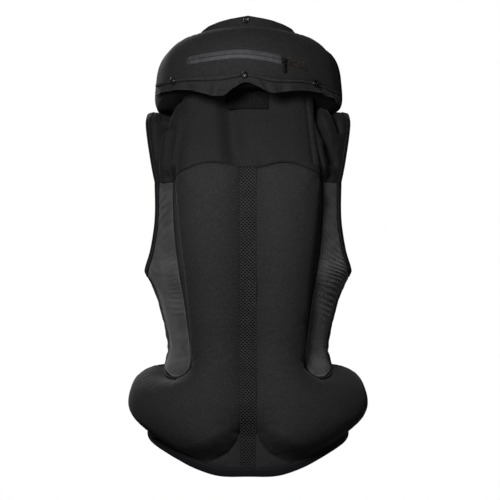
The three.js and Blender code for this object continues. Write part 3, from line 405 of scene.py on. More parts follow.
half_at, back_at, front_at = (through(FORM_ROWS, "z", key) for key in ("half", "back", "front"))
pad_edge_at = through(PAD_EDGE, "z", "x")
yoke_seam_at = through(YOKE_SEAM, "x", "z")
yoke_top_at = through(YOKE_TOP, "x", "z")
neckline_at = through(FRONT_NECKLINE, "x", "z")
lobe_height_at = through(LOBE_HEIGHT, "z", "height")
pad_flange_at = through(PAD_FLANGE, "z", "width")
flap_top_at = through(FLAP_TOP, "x", "z")
flap_edge_at = through(FLAP_EDGE, "x", "z")
zip_at = through(ZIP_LINE, "x", "z")
hem_by_degree = through(HEM, "turn", "z")
wing_top_by_degree = through(WING_TOP, "turn", "z")
band_by_degree = through(BAND_HEIGHT, "turn", "height")
roll_curves = [through(ROLL, "turn", key) for key in ("reach", "rise", "thick", "tall", "lean")]


def hem_at(turn):
    """Height of the lower edge at a turn from the middle of the back."""
    return hem_by_degree(np.degrees(np.abs(turn)))


def hem_edge_at(turn):
    """Height of the hem binding's upper edge."""
    return hem_at(turn) + HEM_TAPE.width + GAP


def wing_top_at(turn):
    """Height of a hip lobe's upper edge."""
    return wing_top_by_degree(np.degrees(turn))


# Inner form of the vest
def form_point(turn, z):
    """Squared oval at each height: polar radius (|cos/depth|^n + |sin/half|^n)^(-1/n)."""
    turn, z = np.broadcast_arrays(turn, np.asarray(z, float))
    depth = np.where(np.abs(turn) < np.pi / 2, back_at(z), front_at(z))
    along = (np.abs(np.cos(turn)) / depth) ** FORM.squareness
    across = (np.abs(np.sin(turn)) / half_at(z)) ** FORM.squareness
    radius = (along + across) ** (-1 / FORM.squareness)
    return np.stack([radius * np.sin(turn), -radius * np.cos(turn), z], -1)


def form_normal(turn, z):
    """Level direction out of the form, square to the oval's tangent."""
    around = form_point(turn + FORM.step, z) - form_point(turn - FORM.step, z)
    return unit(np.stack([around[..., 1], -around[..., 0], 0 * around[..., 0]], -1))


def vest_point(turn, z, depth):
    """Point at a depth outside the form."""
    return form_point(turn, z) + form_normal(turn, z) * np.asarray(depth)[..., None]


def turn_aside(x, z, depth):
    """Turn from the middle of a half oval with a depth at which it is x to the side."""
    across = np.minimum(np.abs(x) / half_at(z), FORM.widest) ** FORM.squareness
    return np.arctan2(x, depth * (1 - across) ** (1 / FORM.squareness))


def turn_behind(x, z):
    """Turn at which the back of the form is x to the side."""
    return turn_aside(x, z, back_at(z))


def turn_in_front(x, z):
    """Turn at which the front of the form is x to the side."""
    return np.pi - turn_aside(x, z, front_at(z))


def armhole_sweep(z, margin):
    """Half width of the armhole as a turn: a squared half oval that closes at its foot."""
    fall = np.clip((STRAP.hem_z - z) / (ARMHOLE.drop + margin), 0, 1)
    rest = (1 - fall**ARMHOLE.squareness) ** (1 / ARMHOLE.squareness)
    return (ARMHOLE.sweep + margin / ARMHOLE.girth) * rest


def girth(turn, z):
    """Distance around the form from the middle of the back."""
    return turn * (back_at(z) + (half_at(z) - back_at(z)) * turn / np.pi)


def unrolled(turn, z):
    """Place on the unrolled form: girth and height."""
    return stacked(girth(turn, z), z)


# Inflated lobes
def lobe_outline():
    """Foot and rim of one lobe on the unrolled form: inside the hem's and the mesh's flat margins."""
    foot = unrolled(turn_behind(LOBE_FOOT["x"], LOBE_FOOT["z"]), LOBE_FOOT["z"])
    hem_turn = np.radians(np.linspace(*LOBE.hem_turns, STEPS.lobe_hem))
    hem = unrolled(hem_turn, hem_edge_at(hem_turn) + LOBE.flange)
    end = unrolled(np.radians(WING_END["turn"]), WING_END["z"])[::-1]
    top_turn = np.radians(np.linspace(LOBE.top_turn, WING_TOP["turn"][0], STEPS.lobe_top))
    top = unrolled(top_turn, wing_top_at(top_turn) - PIPING.seat + LOBE.ease)
    side_z = np.linspace(*LOBE.side_z, STEPS.lobe_side)
    side_x = pad_edge_at(side_z) - PIPING.seat + LOBE.ease - pad_flange_at(side_z)
    side = unrolled(turn_behind(side_x, side_z), side_z)
    return foot, np.concatenate([hem, end, top, side, [LOBE.head]])


lobe_foot, lobe_rim = lobe_outline()


def distance_to(chain, place):
    """Distance from each place to a chain of points: the least over its straight spans."""
    best = np.full(place.shape[:-1], np.inf)
    for a, b in zip(chain[:-1], chain[1:]):
        along = b - a
        share = np.clip(((place - a) @ along) / max(along @ along, TINY), 0, 1)
        away = np.linalg.norm(place - a - share[..., None] * along, axis=-1)
        best = np.minimum(best, away)
    return best


def is_inside(outline, place):
    """Whether each place lies in a closed outline: an odd number of its spans pass to the right."""
    inside = np.zeros(place.shape[:-1], bool)
    for a, b in zip(outline, np.roll(outline, -1, axis=0)):
        spans = (a[1] > place[..., 1]) != (b[1] > place[..., 1])
        slope = (b[0] - a[0]) / (b[1] - a[1] if b[1] != a[1] else TINY)
        inside ^= spans & (place[..., 0] < a[0] + slope * (place[..., 1] - a[1]))
    return inside


def column_share(turn, z):
    """Part of a lobe's height that is left beside the spine."""
    grown = smoothstep(z, *VALLEY.foot_z)
    away = distance_to(lobe_foot, unrolled(turn, z))
    foot = lerp(smoothstep(away, 0, LOBE.foot_round), pillow(away, LOBE.foot_round), LOBE.foot_pillow)
    rise = lerp(foot, pillow(away, LOBE.spine_round), grown)
    return lerp(VALLEY.floor * grown, 1, rise)


def lobe_depth(turn, z, share=None, seed=0):
    """Cloth plus the lobe's height, tapered to the hem, rounded at its rim and gathered at its seams."""
    turn, z = np.broadcast_arrays(turn, np.asarray(z, float))
    place = unrolled(turn, z)
    around = place[..., 0]
    share = column_share(turn, z) if share is None else share
    taper = 1 - (1 - np.clip((z - hem_at(turn)) / LOBE.hem_taper, 0, 1)) ** 2
    away = distance_to(lobe_rim, place)
    height = lobe_height_at(z) * taper * pillow(away, LOBE.edge_round) * share
    relief = rumples(around, z, "lobe", seed) + gathers(z + around, away, "lobe", seed)
    height = height + relief * np.clip(height / LOBE.relief_rise, 0, 1)
    inside = is_inside(np.concatenate([lobe_foot, lobe_rim]), place)
    return CLOTH + np.where(inside, np.maximum(height, 0), 0)


def yoke_seam_z(share):
    """Height of the yoke's seam at a share of the way from the spine to the side."""
    return yoke_seam_at(lerp(SPINE.half, pad_edge_at(STRAP.hem_z), share))


def seam_groove(away):
    """Sunk line where two panels are sewn together."""
    return -SEAM.depth * bell(np.maximum(away, 0), SEAM.width)


def yoke_depth(x, z):
    """Depth of the yoke: the valley over the spine fades into a soft dent aside from it."""
    turn = turn_behind(np.maximum(np.abs(x), SPINE.half + GAP), z)
    dent = 1 - YOKE.dent_share * bell(x - YOKE.dent_x, YOKE.dent_width)
    share = lerp(column_share(turn, z), dent, smoothstep(z, *YOKE.blend_z))
    return lobe_depth(turn, z, share, SEEDS.yoke)


def chest_depth(turn, z, seed):
    """Depth of a front panel: a plain pad beside the end of the hip lobe."""
    around = girth(turn, z)
    from_zip = np.abs(form_point(turn, z)[..., 0]) - FRONT_ZIP.half - GAP
    from_side = around - girth(SIDE_SEAM + armhole_sweep(z, BINDING.width), z) - CHEST.margin
    sides = pillow(from_zip, CHEST.round) * pillow(from_side, CHEST.round)
    ends = pillow(z - hem_edge_at(turn), CHEST.round) * pillow(CHEST.top_z - z, CHEST.round)
    pad = CHEST.height * sides * ends
    relief = rumples(around, z, "chest", seed) * np.clip(pad / CHEST.relief_rise, 0, 1)
    return np.maximum(lobe_depth(turn, z, seed=seed), CLOTH + pad + relief)


# Closed shapes: points, faces and cloth coordinates
def grid_cells(shape):
    """Numbers of a grid's points, and the four corners of each of its cells."""
    index = np.arange(shape[0] * shape[1]).reshape(shape)
    return index, np.stack([index[:-1, :-1], index[:-1, 1:], index[1:, 1:], index[1:, :-1]], -1)


def wall(outer, inner, cloth, keep=None):
    """Outer and inner sheet over the kept cells of a grid, with a rim around them."""
    index, quads = grid_cells(outer.shape[:2])
    keep = np.ones(quads.shape[:2], bool) if keep is None else keep
    ring = np.pad(keep, 1)
    neighbours = [ring[:-2, 1:-1], ring[1:-1, 2:], ring[2:, 1:-1], ring[1:-1, :-2]]
    parts = [quads[keep], quads[keep][:, ::-1] + index.size]
    for k, neighbour in enumerate(neighbours):
        edge = quads[keep & ~neighbour]
        p, q = edge[:, k], edge[:, (k + 1) % 4]
        parts.append(np.stack([p + index.size, q + index.size, q, p], -1))
    used, faces = np.unique(np.concatenate(parts), return_inverse=True)
    points = np.concatenate([outer.reshape(-1, 3), inner.reshape(-1, 3)])[used]
    flat = np.concatenate([cloth.reshape(-1, 2)] * 2)[used]
    return points, faces.reshape(-1, 4).tolist(), flat


def tube(rings, cloth=None, is_loop=False):
    """Skin over rings of points, joined end to end or closed by a flat face at each end."""
    steps, count = rings.shape[:2]
    index = np.arange(steps * count).reshape(steps, count)
    ends = [] if is_loop else [index[0, ::-1].tolist(), index[-1].tolist()]
    if is_loop:
        index = np.concatenate([index, index[:1]])
    around = np.roll(index, -1, axis=1)
    quads = np.stack([index[:-1], around[:-1], around[1:], index[1:]], -1)
    flat = np.zeros((steps * count, 2)) if cloth is None else cloth.reshape(-1, 2)
    return rings.reshape(-1, 3), quads.reshape(-1, 4).tolist() + ends, flat


def joined(shapes):
    """Several shapes as one."""
    points, faces, flat, start = [], [], [], 0
    for shape_points, shape_faces, shape_flat in shapes:
        points.append(shape_points)
        flat.append(shape_flat)
        faces += [[corner + start for corner in face] for face in shape_faces]
        start += len(shape_points)
    return np.concatenate(points), faces, np.concatenate(flat)


def mirrored(shape, side):
    """The shape for the right side, or its mirror image for the left."""
    points, faces, flat = shape
    return points * np.array([side, 1, 1]), faces, flat


def signed_volume(points, faces):
    """Six times the volume inside closed faces, positive where they point out."""
    quads = np.array([face if len(face) == 4 else face[:3] + face[2:3] for face in faces])
    a, b, c, d = (points[quads[:, k]] for k in range(4))
    first = np.einsum("ij,ij->i", a, np.cross(b, c)).sum()
    return first + np.einsum("ij,ij->i", a, np.cross(c, d)).sum()


def linked(name, data):
    """Object with its data, put into the scene."""
    made = bpy.data.objects.new(name, data)
    bpy.context.scene.collection.objects.link(made)
    return made


def make_piece(name, shape, finish, node=None, second=None):
    """Mesh object with outward faces and its cloth coordinates, riding on the vest's one body.

    A second finish goes on the faces that its mask marks, counted from the first face.
    """
    points, faces, flat = shape
    if signed_volume(points, faces) < 0:
        faces = [face[::-1] for face in faces]
    mesh = bpy.data.meshes.new(name)
    mesh.from_pydata(points * MM, [], faces)
    layer = mesh.uv_layers.new(name="cloth")
    corner = np.empty(len(mesh.loops), np.int32)
    mesh.loops.foreach_get("vertex_index", corner)
    layer.data.foreach_set("uv", (flat[corner] * MM).ravel())
    mesh.polygons.foreach_set("use_smooth", np.ones(len(mesh.polygons), bool))
    mesh.set_sharp_from_angle(angle=SHARP_TURN)
    mesh.materials.append(FINISHES[finish])
    if second:
        second_finish, mask = second
        mesh.materials.append(FINISHES[second_finish])
        index = np.zeros(len(faces), np.int32)
        index[: len(mask)] = mask
        mesh.polygons.foreach_set("material_index", index)
    piece = linked(name, mesh)
    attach(piece, "root")
    if node:
        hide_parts(node)
    return piece


# Cloth simulation
def thinned(count, middle):
    """Every second place of a row, with its ends and the given middle place always among them."""
    return np.array([*range(0, middle, SIM.thinning), *range(middle, count - 1, SIM.thinning), count - 1])


def smoothed(grid):
    """Rows of a grid averaged with the rows beside them, which count half."""
    ring = np.pad(grid, ((1, 1), (0, 0)), mode="edge")
    return (ring[:-2] + 2 * ring[1:-1] + ring[2:]) / 4


def spread(moves, rows, columns, shape):
    """Moves of a thinned grid, read between its places for every place of the full one and smoothed once."""
    tall = np.array([np.interp(np.arange(shape[0]), rows, column) for column in moves.T]).T
    wide = np.array([np.interp(np.arange(shape[1]), columns, row) for row in tall])
    return smoothed(smoothed(wide).T).T


def simulated(places, faces, held):
    """Places of a sheet's points after a short cloth simulation with pressure from inside and no gravity."""
    scene = bpy.context.scene
    mesh = bpy.data.meshes.new("settling")
    mesh.from_pydata(places * SIM.unit, [], faces)
    sheet = linked("settling", mesh)
    group = sheet.vertex_groups.new(name="held")
    group.add(np.flatnonzero(held).tolist(), 1.0, "REPLACE")
    group.add(np.flatnonzero(~held).tolist(), SIM.hold, "REPLACE")
    cloth = sheet.modifiers.new("cloth", "CLOTH")
    cloth.collision_settings.use_collision = False
    for key, value in SIM_CLOTH.items():
        setattr(cloth.settings, key, value)
    cloth.settings.vertex_group_mass = group.name
    cloth.settings.effector_weights.gravity = 0
    for number in range(1, SIM.frames + 1):
        scene.frame_set(number)
    result = sheet.evaluated_get(bpy.context.evaluated_depsgraph_get())
    ended = np.empty(3 * len(places))
    result.data.vertices.foreach_get("co", ended)
    bpy.data.objects.remove(sheet)
    bpy.data.meshes.remove(mesh)
    scene.frame_set(1)
    return ended.reshape(-1, 3) / SIM.unit


def blown_up(turn, z, depth, keep, middle):
    """Outer sheet of a panel: a slightly flatter start, blown up by a simulation that holds its edges.

    A thinned copy of the grid is simulated. Its moves are capped and spread over the full grid.
    """
    outer = vest_point(turn, z, CLOTH + SIM.start * (depth - CLOTH))
    rows, columns = (thinned(count, place) for count, place in zip(outer.shape, middle))
    start = outer[np.ix_(rows, columns)].reshape(-1, 3)
    cells = keep[np.ix_(rows[:-1], columns[:-1])]
    index, quads = grid_cells((len(rows), len(columns)))
    ring = np.pad(cells, 1)
    is_edge = ~(ring[:-1, :-1] & ring[:-1, 1:] & ring[1:, :-1] & ring[1:, 1:])
    used, faces = np.unique(quads[cells], return_inverse=True)
    ended = simulated(start[used], faces.reshape(-1, 4).tolist(), is_edge.ravel()[used])
    moves = np.zeros_like(start)
    moves[used] = ended - start[used]
    moves *= SIM.cap / np.maximum(np.linalg.norm(moves, axis=-1, keepdims=True), SIM.cap)
    moves = moves.reshape(index.shape + (3,))
    return outer + np.stack([spread(moves[..., k], rows, columns, outer.shape[:2]) for k in range(3)], -1)


def padded_panel(side, turn, z, depth, keep, middle):
    """Panel between the form and its blown-up outer sheet, on one side."""
    outer = blown_up(turn, z, depth, keep, middle)
    return mirrored(wall(outer, form_point(turn, z), unrolled(turn, z), keep), side)


# Node materials
class Value:
    """A socket of a finish; arithmetic on it adds Math nodes."""

    def __init__(self, finish, socket):
        self.finish = finish
        self.socket = socket

    def math(self, operation, *others):
        sockets = dict(enumerate([self, *others]))
        return self.finish.node("ShaderNodeMath", {"operation": operation}, sockets)

    def __add__(self, other):
        return self.math("ADD", other)

    def __mul__(self, other):
        return self.math("MULTIPLY", other)

    def __rsub__(self, other):
        return (self * -1.0) + other

    __radd__ = __add__
    __rmul__ = __mul__

    def wave(self, length):
        """Sine wave of a length in metres."""
        return (self * (2 * math.pi / length)).math("SINE")

    def between(self, low, high):
        """Ease from 0 to 1 as the value goes from low to high."""
        sockets = {0: self, 1: low, 2: high, 3: 0.0, 4: 1.0}
        return self.finish.node("ShaderNodeMapRange", {"interpolation_type": "SMOOTHSTEP"}, sockets)


class Finish:
    """A material being made: its Principled shader, and nodes joined by their sockets."""

    def __init__(self, name):
        self.material = bpy.data.materials.new(name)
        self.material.use_nodes = True
        self.tree = self.material.node_tree
        self.shader = self.tree.nodes["Principled BSDF"]

    def node(self, kind, settings, sockets, output=0):
        """New node with its settings and inputs, as the value of one of its outputs."""
        made = self.tree.nodes.new(kind)
        for key, value in settings.items():
            setattr(made, key, value)
        for key, value in sockets.items():
            self.join(value, made.inputs[key])
        return Value(self, made.outputs[output])

    def join(self, value, socket):
        """Link a value to an input, or set the input to a number or a colour."""
        if isinstance(value, Value):
            self.tree.links.new(value.socket, socket)
        else:
            socket.default_value = value

    def set(self, **sockets):
        """Inputs of the shader by their names; gives the finished material."""
        for key, value in sockets.items():
            self.join(value, self.shader.inputs[key.replace("_", " ")])
        return self.material

    def place(self):
        """Place on the piece in metres."""
        return self.node("ShaderNodeTexCoord", {}, {}, "Object")

    def cloth(self):
        """Place along and up the cloth in metres, as two values."""
        flat = self.node("ShaderNodeUVMap", {"uv_map": "cloth"}, {})
        split = self.node("ShaderNodeSeparateXYZ", {}, {0: flat})
        return split, Value(self, split.socket.node.outputs[1])

    def noise(self, scale, detail=3.0):
        """Soft random value from 0 to 1, finer with a larger scale."""
        sockets = {"Vector": self.place(), "Scale": scale, "Detail": detail, "Roughness": 0.6}
        return self.node("ShaderNodeTexNoise", {}, sockets, "Fac")

    def mix(self, share, a, b):
        """Colour at a share of the way from a to b."""
        sockets = {"Factor": share, 6: (*a, 1.0), 7: (*b, 1.0)}
        return self.node("ShaderNodeMix", {"data_type": "RGBA"}, sockets, 2)

    def bump(self, height, distance, strength):
        """Normal of a fine relief."""
        sockets = {"Height": height, "Distance": distance, "Strength": strength}
        return self.node("ShaderNodeBump", {}, sockets)


def stretch_cloth(name, dark, light, sheen):
    """Matte knitted stretch cloth: fine wales and courses, faint mottling and a soft nap."""
    finish = Finish(name)
    u, v = finish.cloth()
    mottle = finish.noise(scale=30.0, detail=4.0)
    grain = finish.noise(scale=520.0)
    height = u.wave(0.0012) * 0.5 + v.wave(0.0009) * 0.35 + grain * 2.0
    return finish.set(
        Base_Color=finish.mix(grain.between(0.3, 0.7) * 0.75 + mottle * 0.25, dark, light),
        Roughness=0.78 + mottle * 0.12,
        Specular_IOR_Level=0.16,
        Sheen_Weight=sheen,
        Sheen_Roughness=0.45,
        Normal=finish.bump(height, distance=0.0001, strength=0.6),
    )


def thread_mesh(name, dark, light, sheen):
    """Threads of an open mesh: twisted strands, with a painted highlight on the raised side of each twist."""
    finish = Finish(name)
    u, v = finish.cloth()
    twist = (u + v).wave(0.0008)
    patch = finish.noise(scale=40.0)
    # painted highlight: the tone follows the twist and is lighter where the twist stands out
    tone = patch.between(0.35, 0.65) * 0.6 + twist.between(-1.0, 1.0) * 0.4
    return finish.set(
        Base_Color=finish.mix(tone, dark, light),
        Roughness=0.7 + patch * 0.2,
        Specular_IOR_Level=0.2,
        Sheen_Weight=sheen,
        Normal=finish.bump(twist, distance=0.00012, strength=0.6),
    )


def ribbed_binding(name, dark, light):
    """Folded tape: fine ribs across its length and a slight shine on its fold."""
    finish = Finish(name)
    u, _ = finish.cloth()
    rib = u.wave(0.0014)
    patch = finish.noise(scale=70.0)
    return finish.set(
        Base_Color=finish.mix(rib.between(-1.0, 1.0) * 0.5 + patch * 0.5, dark, light),
        Roughness=0.65 + patch * 0.2,
        Specular_IOR_Level=0.12,
        Sheen_Weight=0.02,
        Normal=finish.bump(rib + patch, distance=0.00018, strength=0.7),
    )


def loop_tape(name, dark, light):
    """Fuzzy loop pile: a mat of curled fibres, with a painted shade in the low pits between them."""
    finish = Finish(name)
    curl = finish.noise(scale=1400.0, detail=5.0)
    clump = finish.noise(scale=260.0)
    # painted shade: the tone follows the relief and is darker in its low pits
    tone = curl.between(0.45, 0.75) * 0.7 + clump.between(0.4, 0.7) * 0.3
    return finish.set(
        Base_Color=finish.mix(tone, dark, light),
        Roughness=0.92,
        Specular_IOR_Level=0.08,
        Sheen_Weight=0.08,
        Normal=finish.bump(curl + clump, distance=0.0006, strength=0.9),
    )


def coated_tape(name, dark, light):
    """Coated zip tape: satin face over a fine weave, with a painted shade where it is creased."""
    finish = Finish(name)
    u, v = finish.cloth()
    weave = u.wave(0.001) * v.wave(0.001)
    # creases of the tape: relief and roughness, and in the base colour a painted shade that darkens them
    crease_and_shade = finish.noise(scale=150.0)
    return finish.set(
        Base_Color=finish.mix(crease_and_shade.between(0.35, 0.7), dark, light),
        Roughness=0.55 + crease_and_shade * 0.2,
        Specular_IOR_Level=0.3,
        Normal=finish.bump(weave + crease_and_shade, distance=0.00006, strength=0.5),
    )


def enamelled_metal(name, dark, bare):
    """Glossy black enamel worn to bare metal in small scratches and spots."""
    finish = Finish(name)
    spot = finish.noise(scale=900.0, detail=4.0)
    scratch = finish.noise(scale=260.0, detail=6.0)
    wear = spot.between(0.6, 0.7) * scratch.between(0.5, 0.58)
    return finish.set(
        Base_Color=finish.mix(wear, dark, bare),
        Roughness=0.14 + scratch * 0.12,
        Metallic=wear,
        Specular_IOR_Level=0.22,
        Normal=finish.bump(spot, distance=0.00004, strength=0.4),
    )


def plain_floor(name, dark, light):
    """Pale matte floor with a faint cloudiness, which fades out towards its edge."""
    finish = Finish(name)
    away = finish.node("ShaderNodeVectorMath", {"operation": "LENGTH"}, {0: finish.place()}, "Value")
    return finish.set(
        Base_Color=finish.mix(finish.noise(scale=3.0), dark, light),
        Roughness=0.9,
        Specular_IOR_Level=0.1,
        Alpha=1.0 - away.between(*FLOOR.edge),
    )


# Floor, light and camera, in metres
FLOOR = Sizes(z=-0.76, edge=(0.2, 0.7), rings=(0.01, 0.5, 1.0))
AMBIENT = 0.06
CAMERA = Sizes(distance=24.0, width=0.7625, middle=(0.003, -0.1906), sensor=36)

# Finishes: kind, name, dark and light tone, and for cloth its sheen
FINISHES = {}
for make, name, *tones in (
    (stretch_cloth, "stretch_cloth", (0.005, 0.005, 0.005), (0.0165, 0.0165, 0.0165), 0.025),
    # darker copy of the stretch cloth for the yoke: a painted shade on the same cloth as the pads
    (stretch_cloth, "yoke_cloth", (0.0033, 0.0033, 0.0033), (0.0105, 0.0105, 0.0105), 0.02),
    # darker copy of the stretch cloth for the straps: a painted shade on the same cloth
    (stretch_cloth, "loose_cloth", (0.0024, 0.0024, 0.0024), (0.0085, 0.0085, 0.0086), 0.015),
    # navy-black cloth on the roll's faces that look down, darkened further as a painted shade
    (stretch_cloth, "lining", (0.0012, 0.0012, 0.0018), (0.003, 0.003, 0.004), 0.01),
    # mesh threads in a lighter grey than the mesh's own: painted light, standing in for light seen through
    # its holes
    (thread_mesh, "light_mesh", (0.035, 0.035, 0.036), (0.07, 0.07, 0.072), 0.1),
    (thread_mesh, "net_strand", (0.017, 0.017, 0.017), (0.029, 0.029, 0.029), 0.05),
    (stretch_cloth, "net_backing", (0.0005, 0.0005, 0.0005), (0.001, 0.001, 0.001), 0.0),
    (ribbed_binding, "piping", (0.0045, 0.0045, 0.0048), (0.0085, 0.0085, 0.009)),
    (ribbed_binding, "binding", (0.0013, 0.0013, 0.0022), (0.0034, 0.0034, 0.0048)),
    (loop_tape, "loop_tape", (0.0008, 0.0008, 0.0008), (0.0045, 0.0045, 0.0047)),
    (loop_tape, "zip_garage", (0.003, 0.0022, 0.002), (0.045, 0.036, 0.034)),
    (coated_tape, "zip_tape", (0.02, 0.0196, 0.0225), (0.034, 0.0335, 0.0375)),
    (enamelled_metal, "stud_metal", (0.003, 0.003, 0.0034), (0.5, 0.5, 0.52)),
    (thread_mesh, "stitching", (0.018, 0.018, 0.019), (0.032, 0.032, 0.034), 0.05),
    (plain_floor, "pale_floor", (0.8428, 0.8428, 0.8428), (0.86, 0.86, 0.86)),
):
    FINISHES[name] = make(name, *tones)


# Back columns with their hip lobes
def rows_from_hem(reach, top, low):
    """Heights from the hem's upper edge to a top edge, settled because their turns depend on them."""
    rows = top + 0 * low
    for _ in range(SETTLE_PASSES):
        rows = lerp(hem_edge_at(reach(rows)), top, low)
    return rows


def pad_places():
    """Turn and height over the grid of a back pad: a column, with the hip lobe beside its lower rows.

    Also gives the kept cells, the share across, and the place in the grid where column and lobe part.
    """
    column = eased(STEPS.pad_column)
    wing = np.linspace(0, 1, STEPS.pad_wing)[1:]
    share = np.concatenate([column, wing])[None, :]
    is_wing = np.arange(share.size)[None, :] >= len(column)

    def reach(z):
        root_z = np.where(is_wing, np.minimum(z, WING_ROOT_Z), z)
        seat = np.where(root_z > WING_ROOT_Z, PIPING.seat, 0)
        root = turn_behind(pad_edge_at(root_z) - seat, root_z)
        start = turn_behind(SPINE.half + GAP, z)
        return np.where(is_wing, lerp(root, SIDE_SEAM - SEAM_TURN, share), lerp(start, root, share))

    top = np.where(is_wing, wing_top_at(reach(WING_ROOT_Z)), WING_ROOT_Z) - PIPING.seat
    lower = rows_from_hem(reach, top, eased(STEPS.pad_low, crowd=0.5)[:, None])
    level = np.linspace(WING_ROOT_Z + 1, LAST_LEVEL_Z, STEPS.pad_level)[:, None] + 0 * share
    seam_step = np.linspace(0, 1, STEPS.pad_seam)[1:, None]
    seam = lerp(LAST_LEVEL_Z, yoke_seam_z(share) + SEAM_LAP, seam_step)
    z = np.concatenate([lower, level, seam])
    middle = (len(lower) - 1, len(column) - 1)
    keep = np.ones((z.shape[0] - 1, z.shape[1] - 1), bool)
    keep[middle[0]:, middle[1]:] = False
    return reach(z), z, keep, share, middle


def back_pad(side):
    """Back pad: the lobes' depth over the form, with the yoke's seam sunk at its upper edge."""
    turn, z, keep, share, middle = pad_places()
    depth = lobe_depth(turn, z, seed=SEEDS.back_pad[side])
    from_seam = yoke_seam_z(share) - z
    sunk = seam_groove(from_seam) - smoothstep(-from_seam, *SEAM.lap_drop)
    depth = np.maximum(depth + np.where(z > LAST_LEVEL_Z, sunk, 0), CLOTH)
    return padded_panel(side, turn, z, depth, keep, middle)


# Cords
def cord(centre, out, radius, sides=STEPS.cord):
    """Round cord along a path, whose rings stand square to the path."""
    along = unit(np.gradient(centre, axis=0))
    aside = unit(np.cross(along, out))
    up = np.cross(aside, along)
    angle = circle(sides)
    ring = np.cos(angle)[:, None] * aside[:, None] + np.sin(angle)[:, None] * up[:, None]
    return tube(centre[:, None] + radius * ring, stacked(lengths(centre)[:, None], radius * angle))


def side_piping(side):
    """Round piping down the pad's edge and along the hip lobe's top."""
    level = np.linspace(STRAP.hem_z + STRAP.seat, WING_ROOT_Z, STEPS.piping)
    edge = turn_behind(pad_edge_at(level), level)
    across = np.linspace(edge[-1], SIDE_SEAM - SEAM_TURN, STEPS.piping_lobe)[1:]
    turn = np.concatenate([edge, across])
    z = np.concatenate([level, wing_top_at(across)])
    centre = vest_point(turn, z, PIPING.radius + PIPING.lift + 0 * z)
    return mirrored(cord(centre, form_normal(turn, z), PIPING.radius + PIPING.side_growth), side)


# Spine strip: a net of wavy strands over a dark backing
strip_z = np.linspace(*SPINE.z, STEPS.strip)


def strip_profile():
    """Depth of the strip up the back: that of the pads' edges beside it, averaged over a short length."""
    depth = lobe_depth(turn_behind(SPINE.half + GAP, strip_z), strip_z)
    kernel = np.ones(SPINE.average) / SPINE.average
    return np.convolve(np.pad(depth, SPINE.average // 2, mode="edge"), kernel, mode="valid")


strip_depth = strip_profile()


def spine_point(x, z, sink):
    """Point of the strip, sunk below the pads' edges."""
    depth = np.interp(z, strip_z, strip_depth)
    return vest_point(turn_behind(x, z), z, np.maximum(depth - sink, SPINE.least))


def spine_backing():
    """Dark strip below the net, over the whole length of the spine."""
    heights = np.linspace(hem_edge_at(0.0) - HEM_TAPE.lap, yoke_seam_at(0.0) + SPINE.lap, STEPS.backing)
    z, across = np.meshgrid(heights, np.linspace(-1, 1, STEPS.backing_across), indexing="ij")
    x = across * (SPINE.half + SPINE.lap)
    outer, inner = (spine_point(x, z, sink) for sink in SPINE.backing_sinks)
    return wall(outer, inner, stacked(x, z))


def spine_net():
    """Net of strands: each runs up the strip as a sine wave and meets its neighbours at the crests."""
    count = int((2 * SPINE.half - NET.margin) / NET.pitch)
    z = np.arange(hem_edge_at(0.0) - HEM_TAPE.lap, yoke_seam_at(0.0) + SEAM_LAP, NET.step)
    lift = NET.lift * np.cos(4 * np.pi * z / NET.wave)
    strands = []
    for k in range(count + 1):
        x = (k - count / 2) * NET.pitch + (NET.pitch / 2 - NET.apart) * wave(z, NET.wave, np.pi * k)
        centre = spine_point(x, z, NET.sink - lift)
        strands.append(cord(centre, form_normal(turn_behind(x, z), z), NET.radius, NET.sides))
    return joined(strands)


# Yoke with its loop tape
def yoke():
    """Upper back panel: columns from side to side, rows from the double-arched seam to the collar."""
    half = eased(STEPS.yoke, crowd=0.5)
    step = np.concatenate([-half[:0:-1], half])[None, :]
    size = np.abs(step)
    share = np.clip((size - YOKE.middle) / (1 - YOKE.middle), 0, 1)
    inner = np.clip(size / YOKE.middle, 0, 1)

    def turn_at(z):
        start = turn_behind(SPINE.half + GAP, z)
        side = turn_behind(pad_edge_at(z) - PIPING.seat, z)
        return np.sign(step) * np.where(size < YOKE.middle, start * inner, lerp(start, side, share))

    head = YOKE_TOP["z"][0] + 0 * step
    top = yoke_top_at(np.abs(form_point(turn_at(head), head)[..., 0]))
    z = lerp(yoke_seam_z(share) + GAP, top, eased(STEPS.yoke_up, crowd=0.5)[:, None])
    turn = turn_at(z)
    x = form_point(turn, z)[..., 0]
    depth = yoke_depth(x, z)
    depth = depth + creases(x, z, YOKE_FOLDS) * np.clip((depth - CLOTH) / LOBE.relief_rise, 0, 1)
    depth = np.maximum(depth + seam_groove(z - yoke_seam_z(share)), CLOTH)
    flat = stacked(np.sign(step) * girth(np.abs(turn), z), z)
    return wall(vest_point(turn, z, depth), form_point(turn, z), flat)


def loop_patch():
    """Loop tape on the yoke: a mat of small random tufts between sewn-down edges."""
    x = np.linspace(PATCH.left, PATCH.right, STEPS.patch)[None, :]
    z = np.linspace(PATCH.bottom, PATCH.top, STEPS.patch_up)[:, None]
    x, z = np.broadcast_arrays(x, z)
    draw = np.random.default_rng(SEEDS.tuft).uniform(0, 1, x.shape)
    edge = np.min([x - PATCH.left, PATCH.right - x, z - PATCH.bottom, PATCH.top - z], axis=0)
    clump = TUFT.clump * rumple(x, z, TUFT.clump_size, SEEDS.clump)
    tuft = (TUFT.least + TUFT.height * draw**2 + clump) * smoothstep(edge, *PATCH.sewn)
    base = yoke_depth(x, z) + PATCH.seat
    turn = turn_behind(x, z)
    outer = vest_point(turn, z, base + PATCH.rise + tuft)
    return wall(outer, vest_point(turn, z, base - PATCH.sunk), stacked(x, z))


